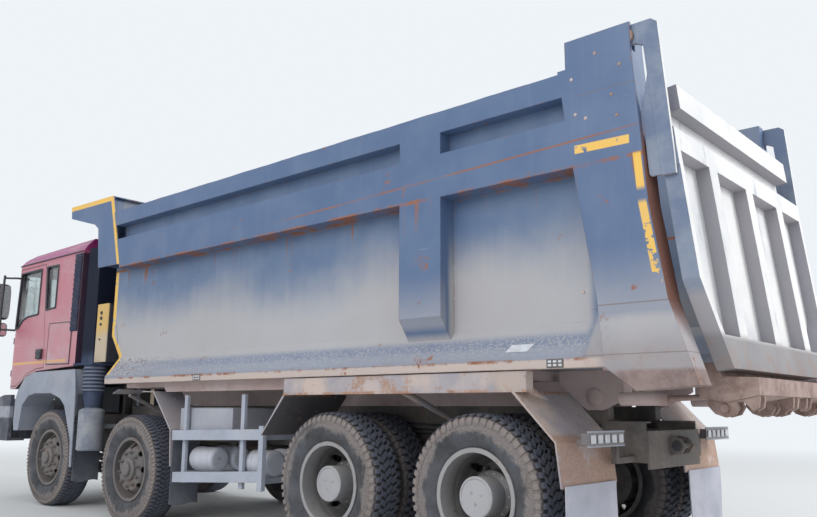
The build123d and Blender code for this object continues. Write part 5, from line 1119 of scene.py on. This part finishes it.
def build_mirrors():
    """Mirror heads with rounded backs on bent tubes, in place of the plain ones."""
    post_y = at(MIRROR_POST_STATION)
    for hand, side in SIDES.items():
        shell = Form()
        rounded_shell(shell, (side * 1.295, at(-1.432), 2.465), (0.105, 0.038, 0.235), 5)
        rounded_shell(shell, (side * 1.295, at(-1.432), 2.10), (0.095, 0.038, 0.09), 5)
        for z, station, surface in ((2.10, -1.372, 1.112), (2.78, -1.306, 1.12)):
            arm = smooth_path([(side * surface, at(station), z), (side * (surface + 0.05), at(station), z),
                               (side * 1.25, at(-1.386), z), (side * MIRROR_POST_X, post_y, z)])
            tube(shell, arm, 0.013)
        post = [(side * MIRROR_POST_X, post_y, 2.07), (side * (MIRROR_POST_X + 0.005), post_y, 2.4),
                (side * MIRROR_POST_X, post_y, 2.81)]
        tube(shell, smooth_path(post), 0.015)
        piece = shell.piece(f"mirror_heads_{hand}", f"door_{hand}_body", "dark_plastic")
        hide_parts(f"mirror_{hand}")
        glass = Form()
        blocks(glass, [(side * 1.295, at(-1.392), 2.465), (side * 1.295, at(-1.392), 2.10)],
               [(0.175, 0.006, 0.42), (0.155, 0.006, 0.15)], 0.002)
        glass.piece(f"mirror_glass_{hand}", f"door_{hand}_body", "hoist_chrome")


def build_seats():
    """Two sprung seats and the bunk's mattress, padded, over their boxes."""
    for number, x in enumerate((0.56, -0.56)):
        cushion = rounded_shell(Form(), (x, at(-0.56), 1.755), (0.23, 0.23, 0.075), 5, 0.25)
        cushion.piece(f"seat_cushion_{number + 1}", "cab", "seat_fabric", 60)
        back = rounded_shell(Form(), (x, at(-0.315), 2.16), (0.215, 0.065, 0.335), 5, 0.12)
        back.piece(f"seat_back_{number + 1}", "cab", "seat_fabric", 60)
    mattress = rounded_shell(Form(), (0, at(0.098), 1.77), (1.055, 0.215, 0.07), 5, 0.12)
    mattress.piece("bunk_mattress", "cab", "seat_fabric", 60)
    bases = Form()
    blocks(bases, [(0.56, at(-0.56), 1.635), (-0.56, at(-0.56), 1.635), (0, at(0.165), 1.65)],
           [(0.34, 0.36, 0.115), (0.34, 0.36, 0.115), (2.10, 0.29, 0.09)], 0.01)
    base = bases.piece("seat_bases", "cab", "dark_plastic")
    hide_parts("seats")


def build_cab_front():
    """Windscreen seal, three wipers, grille bars and roof lamps."""
    front = Form()
    y = at(CAB_FRONT)
    screen = filled([(-1.0, 2.085), (1.0, 2.085), (0.99, 2.845), (-0.99, 2.845), (-1.0, 2.085)])
    lean = np.interp(screen[:, 1], (2.06, 2.90), (CAB_FRONT, -1.378))
    tube(front, row(screen[:, 0], at(lean) - 0.002, screen[:, 1]), 0.014, 8)
    for x in (-0.62, 0.05, 0.72):
        arm = [(x, y - 0.006, 2.03), (x - 0.16, y - 0.009, 2.10), (x - 0.38, y + 0.001, 2.17)]
        tube(front, smooth_path(arm), 0.008, 8)
        tube(front, [(x - 0.66, y - 0.003, 2.13), (x - 0.38, y - 0.003, 2.17), (x - 0.10, y + 0.002, 2.21)],
             0.007, 8)
    bars = np.arange(1.43, 1.88, 0.034)
    blocks(front, row(0, y - 0.008, bars), (1.46, 0.014, 0.014), 0.003)
    front.piece("cab_front_trim", "cab", "dark_plastic")
    lights = Form()
    places = [(side * x, at(-1.27), 3.045) for side in (-1, 1) for x in (0.35, 0.75)]
    blocks(lights, places, (0.12, 0.05, 0.035), 0.008)
    lights.piece("roof_lamps", "cab", "lamp_amber")


# Body pieces

def build_body_fittings():
    """Marker lamps, bolts, rolled lips, a gusset and a reflector on each side of the tipping body."""
    marker_z = 1.383
    for hand, side in SIDES.items():
        markers, steel, bare, backing = Form(), Form(), Form(), Form()
        for station in (3.07, 6.85):
            back = (side * (HALF_WIDTH - 0.004), at(station), marker_z)
            blocks(backing, [back], (0.016, 0.12, 0.056), 0.003)
            cells = [(side * (HALF_WIDTH + 0.004), at(station + dy), marker_z + dz)
                     for dy in (-0.036, 0.0, 0.036) for dz in (-0.011, 0.011)]
            blocks(markers, cells, (0.006, 0.024, 0.014), 0.002)
        # bolt heads scattered where plates lap on the rear pillar
        laps = [(7.03, 3.17), (7.05, 2.93), (7.12, 2.89), (7.30, 3.00), (7.06, 1.80), (7.20, 3.30),
                (7.33, 2.86), (7.36, 3.18)]
        places = [(side * HALF_WIDTH, at(station), z) for station, z in laps]
        bolt_heads(steel, places, (side, 0, 0), 0.009, 0.004, 10)
        # a rolled lip along the sill and along the top rail
        for z, x, low, high in ((1.412, HALF_WIDTH - 0.004, 1.39, 7.17),
                                (3.228, HALF_WIDTH - 0.006, 1.51, 6.93)):
            line = np.linspace(low, high, 60)
            wave = 0.0015 * np.sin(line * 9.0) + 0.001 * np.sin(line * 23.0)
            tube(bare, row(side * x, at(line), z + wave), 0.006, 8)
        # gusset on the front wall's edge
        gusset = [(1.205, 2.00), (1.205, 1.885), (1.30, 1.765), (1.325, 1.80), (1.27, 2.0)]
        side_plate(bare, [(at(station), z) for station, z in gusset], side, 1.118, 1.128)
        markers.piece(f"marker_lenses_{hand}", "tipper", "reflector_white")
        backing.piece(f"marker_backs_{hand}", "tipper", "frame_steel")
        steel.piece(f"body_bolts_{hand}", "tipper", "underframe_steel")
        bare.piece(f"body_lips_{hand}", "tipper", "body_grey")
        # reflective sticker on the ledge: a corner is a station and how far up the slope it lies, 0 to 1
        sticker = Form()
        corners = [(side * (HALF_WIDTH + 0.001 - 0.155 * up), at(station), 1.4275 + 0.2125 * up + 0.001)
                   for station, up in ((6.47, 0.17), (6.64, 0.17), (6.67, 0.40), (6.50, 0.40))]
        rise = np.array([side * 0.0016, 0, 0.0012])
        both = np.concatenate([np.array(corners), np.array(corners) + rise])
        sticker.add(both,
                    [[0, 1, 2, 3], [4, 5, 6, 7], [0, 1, 5, 4], [1, 2, 6, 5], [2, 3, 7, 6], [3, 0, 4, 7]])
        sticker.piece(f"reflector_{hand}", "tipper", "reflector_white")


def build_tail():
    """Latch hooks under the gate's foot, pin heads and the wide parts of the gate's arms."""
    hooks = Form()
    hook = [(7.60, 1.19), (7.60, 1.13), (7.64, 1.085), (7.70, 1.065), (7.755, 1.08), (7.78, 1.12),
            (7.77, 1.15), (7.80, 1.155), (7.83, 1.13), (7.85, 1.10), (7.885, 1.12), (7.895, 1.17),
            (7.89, 1.20), (7.70, 1.20)]
    roller = [(-0.075, 0.001), (-0.075, 0.026), (0.075, 0.026), (0.075, 0.001)]
    for x in (0.78, 0.14, -0.14, -0.78):
        for dx in (-0.045, 0.045):
            outline = [(at(station), z) for station, z in hook]
            plate(hooks, outline, "x", x + dx - 0.014, x + dx + 0.014, 0.004)
        turned(hooks, roller, (x, at(7.70), 1.115), steps=20)
    hooks.piece("latch_hooks", "tipper", "underframe_steel")
    widened, bosses = Form(), Form()
    arm = [(7.522, 3.10), (7.4745, 2.86), (7.4995, 2.46), (7.51, 2.445), (7.575, 2.445), (7.57, 2.57),
           (7.53, 3.10)]
    tipping_pin = [(0.0, 0.001), (0.0, 0.062), (0.008, 0.062), (0.013, 0.056), (0.013, 0.001)]
    gate_pin = [(-0.02, 0.001), (-0.02, 0.052), (0.001, 0.052), (0.005, 0.046), (0.005, 0.001)]
    for side in (1, -1):
        side_plate(widened, [(at(station), z) for station, z in arm], side, 1.222, 1.242)
        side_turned(bosses, tipping_pin, side, 0.456, at(6.67), 1.193, 36)
        side_turned(bosses, gate_pin, side, 1.2675, at(7.40), 3.35, 32)
    widened.piece("gate_arm_plates", "gate", "gate_dust")
    bosses.piece("gate_pin_heads", "tipper", "underframe_steel")


# Chassis

def build_springs():
    """U-bolts on the leaf springs and dampers beside them, lower where the flat tyre lets the axle sag."""
    form = Form()
    spring_x = 0.41
    for axle, sags in ((1, (0, 0)), (2, (FLAT_SAG, 0))):
        y = at(AXLES[axle])
        for side, sag in zip((1, -1), sags):
            drop = sag * (side * spring_x + 0.86) / 1.72
            seat = 0.464 - drop
            for dy in (-0.05, 0.05):
                for dx in (-0.052, 0.052):
                    x = side * spring_x + dx
                    tube(form, [(x, y + dy, seat - 0.07), (x, y + dy, seat), (x, y + dy, seat + 0.125)],
                         0.009, 8)
            damper = [(side * 0.53, y - 0.20, 0.90), (side * 0.60, y - 0.10, 0.62),
                      (side * 0.66, y - 0.02, 0.48 - drop)]
            tube(form, damper[:2], 0.040, 14)
            tube(form, damper[1:], 0.022, 12)
    form.piece("spring_bolts_and_dampers", "chassis", "frame_steel")


def build_flaps():
    """Limp mud flaps in place of the flat ones.

    A point is (x(u), y0 + b (1 - v)^2 sin(pi (u + 0.2)) and a ripple, z(v)), u across and v up the flap, on
    both faces of a sheet."""
    dark, pale = Form(), Form()
    rows, columns, thick = 20, 16, 0.008
    count = rows * columns
    u, v = np.meshgrid(np.linspace(0, 1, columns), np.linspace(0, 1, rows))
    # the numbers of the points round a sheet's rim
    rim = np.concatenate([np.arange(columns), np.arange(1, rows) * columns + columns - 1,
                          (rows - 1) * columns + np.arange(columns - 2, -1, -1),
                          np.arange(rows - 2, 0, -1) * columns])
    faces = grid_quads(rows, columns)
    walls = np.column_stack([rim, np.roll(rim, -1), np.roll(rim, -1) + count, rim + count])
    # station, inner and outer edge, foot, top and bend of each flap
    flaps = ((0.641, 0.88, 1.18, 0.305, 1.255, 0.012, dark), (2.603, 0.89, 1.19, 0.21, 0.90, 0.014, dark),
             (6.868, 0.60, 1.24, 0.23, 0.655, 0.016, pale))
    for side in (1, -1):
        for station, inner, outer, low, top, bend, form in flaps:
            wave = 0.003 + bend * (1 - v) ** 2 * np.sin(pi * (u + 0.2)) + 0.002 * np.sin(9 * u) * (1 - v)
            height = low + (top - low) * v + 0.01 * (1 - v) * np.sin(7 * u)
            points = np.stack([side * (inner + (outer - inner) * u), at(station) + wave, height], -1)
            sheet = points.reshape(-1, 3)
            form.add(np.concatenate([sheet, sheet + (0, thick, 0)]), faces, faces + count, walls)
    pieces = [dark.piece("limp_flaps_front", "chassis", "flap_rubber"),
              pale.piece("limp_flaps_rear", "chassis", "pale_flap")]
    for piece in pieces:
        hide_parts("mud_flaps")


def build_chassis_fittings():
    """Straps and ports of the air tanks, lines along the rails, brake chambers and frame bolts."""
    straps, hoses, chambers = Form(), Form(), Form()
    tanks_x = (0.78, 1.025)
    strap = [(-0.016, 0.1125), (0.016, 0.1125), (0.016, 0.108), (-0.016, 0.108)]
    for x in tanks_x:
        for station in (2.86, 3.08, 3.72, 3.88):
            turned(straps, strap, (x, at(station), AIR_TANK_Z), "y", 40)
    bolt_heads(straps, [(x, at(2.79), AIR_TANK_Z) for x in tanks_x], (0, -1, 0), 0.018, 0.012)
    # the battery box has a ribbed lid
    lid = np.arange(2.70, 3.42, 0.09)
    blocks(straps, row(0.885, at(lid), 1.107), (0.44, 0.022, 0.010), 0.003)
    run = np.linspace(1.1, 6.7, 60)
    for offset, height in ((0.0, 0.99), (0.03, 0.955), (0.015, 0.92)):
        for side in (1, -1):
            line = row(side * (0.44 + offset), at(run), height + 0.012 * np.sin(3.1 * run))
            tube(hoses, line, 0.011, 8)
    chamber = [(-0.09, 0.001), (-0.09, 0.07), (-0.05, 0.085), (0.0, 0.088), (0.01, 0.095), (0.02, 0.088),
               (0.09, 0.08), (0.10, 0.06), (0.10, 0.001)]
    for axle in (3, 4):
        for side in (1, -1):
            turned(chambers, chamber, (side * 0.30, at(AXLES[axle] - 0.24), 0.66), "y", 28)
            push_rod = [(side * 0.30, at(AXLES[axle] - 0.16), 0.64),
                        (side * 0.33, at(AXLES[axle] - 0.08), 0.60)]
            tube(chambers, push_rod, 0.03, 12)
    straps.piece("tank_straps", "chassis", "tank_paint")
    hoses.piece("brake_lines", "chassis", "dark_plastic")
    chambers.piece("brake_chambers", "chassis", "frame_steel")
    bolts = Form()
    stations = np.arange(-0.6, 6.9, 0.26)
    for side in (1, -1):
        for height in (0.82, 0.97):
            bolt_heads(bolts, row(side * RAIL_FACE_X, at(stations), height), (side, 0, 0), 0.011, 0.010)
    bolts.piece("rail_bolts", "chassis", "frame_steel")


def build_shields():
    """Dark sheets between the engine and the wheels, a radiator, and the coupling's eyes."""
    sheets, eyes = Form(), Form()
    eye = [(0.0, 0.001), (0.0, 0.036), (0.003, 0.036), (0.003, 0.001)]
    for side in (1, -1):
        blocks(sheets, [(side * 0.462, at(-0.34), 1.205), (side * 0.60, at(-0.885), 1.205)],
               [(0.010, 1.20, 0.31), (0.012, 0.56, 0.31)], 0.003)
        side_turned(eyes, eye, side, 0.0855, at(7.085), 0.865, 28)
    blocks(sheets, [(0, at(-1.09), 1.167)], (0.62, 0.03, 0.385), 0.004)
    fins = np.arange(-0.28, 0.281, 0.02)
    blocks(sheets, row(fins, at(-1.107), 1.167), (0.006, 0.008, 0.36), 0.001)
    sheets.piece("engine_shields", "chassis", "dark_plastic")
    eyes.piece("coupling_eyes", "chassis", "dark_plastic")


def build_tank_face():
    """Four dark knobs on the face of the yellow control box."""
    knobs = Form()
    for z, radius in ((2.16, 0.020), (2.10, 0.020), (2.03, 0.016), (1.86, 0.010)):
        knob = [(0.0, radius), (0.010, radius), (0.014, radius * 0.8), (0.014, 0.001)]
        turned(knobs, knob, (1.108, at(0.90), z), steps=20)
    knobs.piece("tank_knobs", "chassis", "dark_plastic")


def build_lamps():
    """Round lenses of the head lamps, and squares and bezels of the tail lamps."""
    lens, squares, frames = Form(), Form(), Form()
    dome = [(-0.030, 0.001), (-0.028, 0.04), (-0.012, 0.062), (0.0, 0.064)]
    y = at(6.994)
    square_x = 0.745 + np.arange(5) * 0.09
    for side in (1, -1):
        blocks(squares, row(side * square_x, y + 0.004, 0.93), (0.058, 0.008, 0.052), 0.003)
        bezels = [(side * 0.925, y - 0.002, 0.974), (side * 0.925, y - 0.002, 0.886)]
        blocks(frames, bezels, (0.475, 0.012, 0.010), 0.003)
        for x in (0.70, 0.82):
            turned(lens, dome, (side * x, at(-1.45), 1.015), "y", 32)
    lens.piece("lamp_ribs", "chassis", "lamp_plastic")
    squares.piece("rear_lamp_lenses", "chassis", "reflector_white")
    frames.piece("lamp_bezels", "chassis", "rack_paint")


# Stage

def build_floor(settings):
    """A round pale floor that fades into the background's colour far out."""
    f = Finish("studio_floor")
    distance = f.add("ShaderNodeVectorMath", {"operation": "LENGTH"})
    f.feed(distance.inputs[0], f.place)
    fade = f.ramp(distance.outputs["Value"], 8.0, 22.0)
    near = f.add("ShaderNodeBsdfPrincipled", Base_Color=(0.70, 0.70, 0.69), Roughness=0.9)
    far = f.add("ShaderNodeEmission", Color=(*settings.background, 1.0), Strength=1.0)
    f.blended(fade, near, far)
    mesh = bpy.data.meshes.new("floor")
    t = np.linspace(0, 2 * pi, 64, endpoint=False)
    rim = row(FLOOR_RADIUS * np.cos(t), FLOOR_RADIUS * np.sin(t), 0)
    mesh.from_pydata(rim.tolist(), [], [list(range(len(t)))])
    mesh.materials.append(f.material)
    floor = bpy.data.objects.new("floor", mesh)
    bpy.context.scene.collection.objects.link(floor)


def build_world(settings):
    """Cool light all round; camera, glossy and transmitted rays see the plain background in its place."""
    world = bpy.data.worlds.new("studio")
    bpy.context.scene.world = world
    world.use_nodes = True
    tree = world.node_tree
    tree.nodes.clear()
    path = tree.nodes.new("ShaderNodeLightPath")
    seen = path.outputs["Is Camera Ray"]
    for ray in ("Is Glossy Ray", "Is Transmission Ray"):
        most = tree.nodes.new("ShaderNodeMath")
        most.operation = "MAXIMUM"
        tree.links.new(seen, most.inputs[0])
        tree.links.new(path.outputs[ray], most.inputs[1])
        seen = most.outputs[0]
    pick = tree.nodes.new("ShaderNodeMixShader")
    tree.links.new(seen, pick.inputs[0])
    shades = (((0.90, 0.95, 1.0), settings.fill), (settings.background, 1.0))
    for number, (colour, strength) in enumerate(shades):
        shade = tree.nodes.new("ShaderNodeBackground")
        shade.inputs[0].default_value = (*colour, 1)
        shade.inputs[1].default_value = strength
        tree.links.new(shade.outputs[0], pick.inputs[number + 1])
    end = tree.nodes.new("ShaderNodeOutputWorld")
    tree.links.new(pick.outputs[0], end.inputs[0])


def build_studio_lights(settings):
    """Two large soft lamps, each aimed at the truck."""
    for name, place, target, size, power in (("key", (-7, 15, 9), (0, 4, 1.8), 6, settings.key),
                                             ("side", (14, 3, 9), (0, 0, 1.5), 10, settings.side)):
        lamp = bpy.data.lights.new(name, "AREA")
        lamp.size = size
        lamp.energy = power
        holder = bpy.data.objects.new(name, lamp)
        holder.location = place
        holder.rotation_euler = (Vector(target) - Vector(place)).to_track_quat("-Z", "Y").to_euler()
        bpy.context.scene.collection.objects.link(holder)


def build_camera():
    """The photograph's camera: its view is turned by yaw and pitch, and its frame by roll."""
    camera = bpy.data.objects.new("camera", bpy.data.cameras.new("camera"))
    camera.data.lens = CAMERA_LENS
    camera.data.clip_end = 500
    ahead = Vector((-sin(CAMERA_YAW) * cos(CAMERA_PITCH), -cos(CAMERA_YAW) * cos(CAMERA_PITCH),
                    sin(CAMERA_PITCH)))
    level = ahead.cross(Vector((0, 0, 1))).normalized()
    top = level.cross(ahead)
    right = level * cos(CAMERA_ROLL) + top * sin(CAMERA_ROLL)
    up = top * cos(CAMERA_ROLL) - level * sin(CAMERA_ROLL)
    turn = Matrix((right, up, -ahead)).transposed().to_4x4()
    camera.matrix_world = Matrix.Translation((CAMERA_X, at(CAMERA_STATION), CAMERA_Z)) @ turn
    bpy.context.scene.collection.objects.link(camera)
    bpy.context.scene.camera = camera
    bpy.context.scene.view_settings.view_transform = "Standard"


# Add-on

class TruckPaint(bpy.types.PropertyGroup):
    """Colours of the truck."""
    colour = dict(subtype="COLOR", size=3, min=0.0, max=1.0)
    body: FloatVectorProperty(name="Body", description="Paint of the tipping body",
                              default=(0.088, 0.142, 0.25), **colour)
    dust: FloatVectorProperty(name="Dust", description="Pale road dust", default=(0.42, 0.415, 0.43),
                              **colour)
    earth: FloatVectorProperty(name="Earth", description="Caked earth on the sill",
                               default=(0.52, 0.42, 0.37), **colour)
    rust: FloatVectorProperty(name="Rust", description="Rust", default=(0.26, 0.11, 0.06), **colour)
    yellow: FloatVectorProperty(name="Yellow", description="Safety marks", default=(0.80, 0.48, 0.07),
                                **colour)
    cab: FloatVectorProperty(name="Cab", description="Cab sides", default=(0.44, 0.115, 0.165), **colour)
    roof: FloatVectorProperty(name="Roof", description="Cab roof", default=(0.32, 0.03, 0.16), **colour)
    mud: FloatVectorProperty(name="Mud", description="Dried mud on the tyres", default=(0.29, 0.245, 0.225),
                             **colour)


class TruckTyres(bpy.types.PropertyGroup):
    """Sizes of the tyres."""
    radius: FloatProperty(name="Radius", description="Tyre radius", default=TYRE_RADIUS, unit="LENGTH")
    half_width: FloatProperty(name="Half width", description="Half the tyre's width", default=0.157,
                              unit="LENGTH")
    blocks: IntProperty(name="Blocks", description="Tread blocks round a driven tyre", default=54)
    front_blocks: IntProperty(name="Front blocks", description="Tread blocks round a steered tyre",
                              default=76)


class TruckStage(bpy.types.PropertyGroup):
    """Light and background."""
    background: FloatVectorProperty(name="Background", description="Colour behind the truck",
                                    subtype="COLOR", size=3, default=(0.86, 0.90, 0.94))
    fill: FloatProperty(name="Fill", description="Strength of the light all round", default=0.85)
    key: FloatProperty(name="Key", description="Power of the light behind the truck", default=1500,
                       unit="POWER")
    side: FloatProperty(name="Side", description="Power of the light beside the truck", default=900,
                        unit="POWER")


class TRUCK_OT_finishes(bpy.types.Operator):
    """Make the finishes and give them to the CAD nodes"""
    bl_idname = "truck.finishes"
    bl_label = "Finishes"

    def execute(self, context):
        make_materials(context.scene.truck_paint)
        for name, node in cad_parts.items():
            node.data.materials.clear()
            node.data.materials.append(MATERIALS[finish_of(name)])
        return {"FINISHED"}


class TRUCK_OT_tyres(bpy.types.Operator):
    """Build the treaded tyres, one of them flat"""
    bl_idname = "truck.tyres"
    bl_label = "Tyres"

    def execute(self, context):
        build_tyres(context.scene.truck_tyres)
        return {"FINISHED"}


class TRUCK_OT_wheel_fittings(bpy.types.Operator):
    """Add nuts, hub bolts and lock rings to the wheels"""
    bl_idname = "truck.wheel_fittings"
    bl_label = "Wheel fittings"

    def execute(self, context):
        build_wheel_fittings()
        return {"FINISHED"}


class TRUCK_OT_cab(bpy.types.Operator):
    """Build the cab's trim, mirrors, seats and front"""
    bl_idname = "truck.cab"
    bl_label = "Cab"

    def execute(self, context):
        build_cab_trim()
        build_mirrors()
        build_seats()
        build_cab_front()
        return {"FINISHED"}


class TRUCK_OT_body(bpy.types.Operator):
    """Add markers, bolts, lips, hooks and pin heads to the tipping body"""
    bl_idname = "truck.body"
    bl_label = "Tipping body"

    def execute(self, context):
        build_body_fittings()
        build_tail()
        return {"FINISHED"}


class TRUCK_OT_chassis(bpy.types.Operator):
    """Add springs' bolts, flaps, brake gear, lines, shields, tank fittings and lamps"""
    bl_idname = "truck.chassis"
    bl_label = "Chassis fittings"

    def execute(self, context):
        build_springs()
        build_flaps()
        build_chassis_fittings()
        build_shields()
        build_tank_face()
        build_lamps()
        return {"FINISHED"}


class TRUCK_OT_stage(bpy.types.Operator):
    """Set up the floor, the light and the camera"""
    bl_idname = "truck.stage"
    bl_label = "Stage"

    def execute(self, context):
        settings = context.scene.truck_stage
        build_floor(settings)
        build_world(settings)
        build_studio_lights(settings)
        build_camera()
        return {"FINISHED"}


OPERATORS = (TRUCK_OT_finishes, TRUCK_OT_tyres, TRUCK_OT_wheel_fittings, TRUCK_OT_cab, TRUCK_OT_body,
             TRUCK_OT_chassis, TRUCK_OT_stage)


class TRUCK_PT_panel(bpy.types.Panel):
    """Lists the truck's colours, sizes and building steps"""
    bl_label = "Tipping truck"
    bl_idname = "TRUCK_PT_panel"
    bl_space_type = "VIEW_3D"
    bl_region_type = "UI"
    bl_category = "Truck"

    def draw(self, context):
        for group in (context.scene.truck_paint, context.scene.truck_tyres, context.scene.truck_stage):
            for name in group.__annotations__:
                self.layout.prop(group, name)
        for operator in OPERATORS:
            self.layout.operator(operator.bl_idname)


GROUPS = {"truck_paint": TruckPaint, "truck_tyres": TruckTyres, "truck_stage": TruckStage}


def register():
    for group in (*GROUPS.values(), *OPERATORS, TRUCK_PT_panel):
        bpy.utils.register_class(group)
    for name, group in GROUPS.items():
        setattr(bpy.types.Scene, name, PointerProperty(type=group))


def unregister():
    for name in GROUPS:
        delattr(bpy.types.Scene, name)
    for group in reversed((*GROUPS.values(), *OPERATORS, TRUCK_PT_panel)):
        bpy.utils.unregister_class(group)


def main():
    register()
    bpy.ops.truck.finishes()
    bpy.ops.truck.tyres()
    bpy.ops.truck.wheel_fittings()
    bpy.ops.truck.cab()
    bpy.ops.truck.body()
    bpy.ops.truck.chassis()
    bpy.ops.truck.stage()


if __name__ == "__main__":
    main()
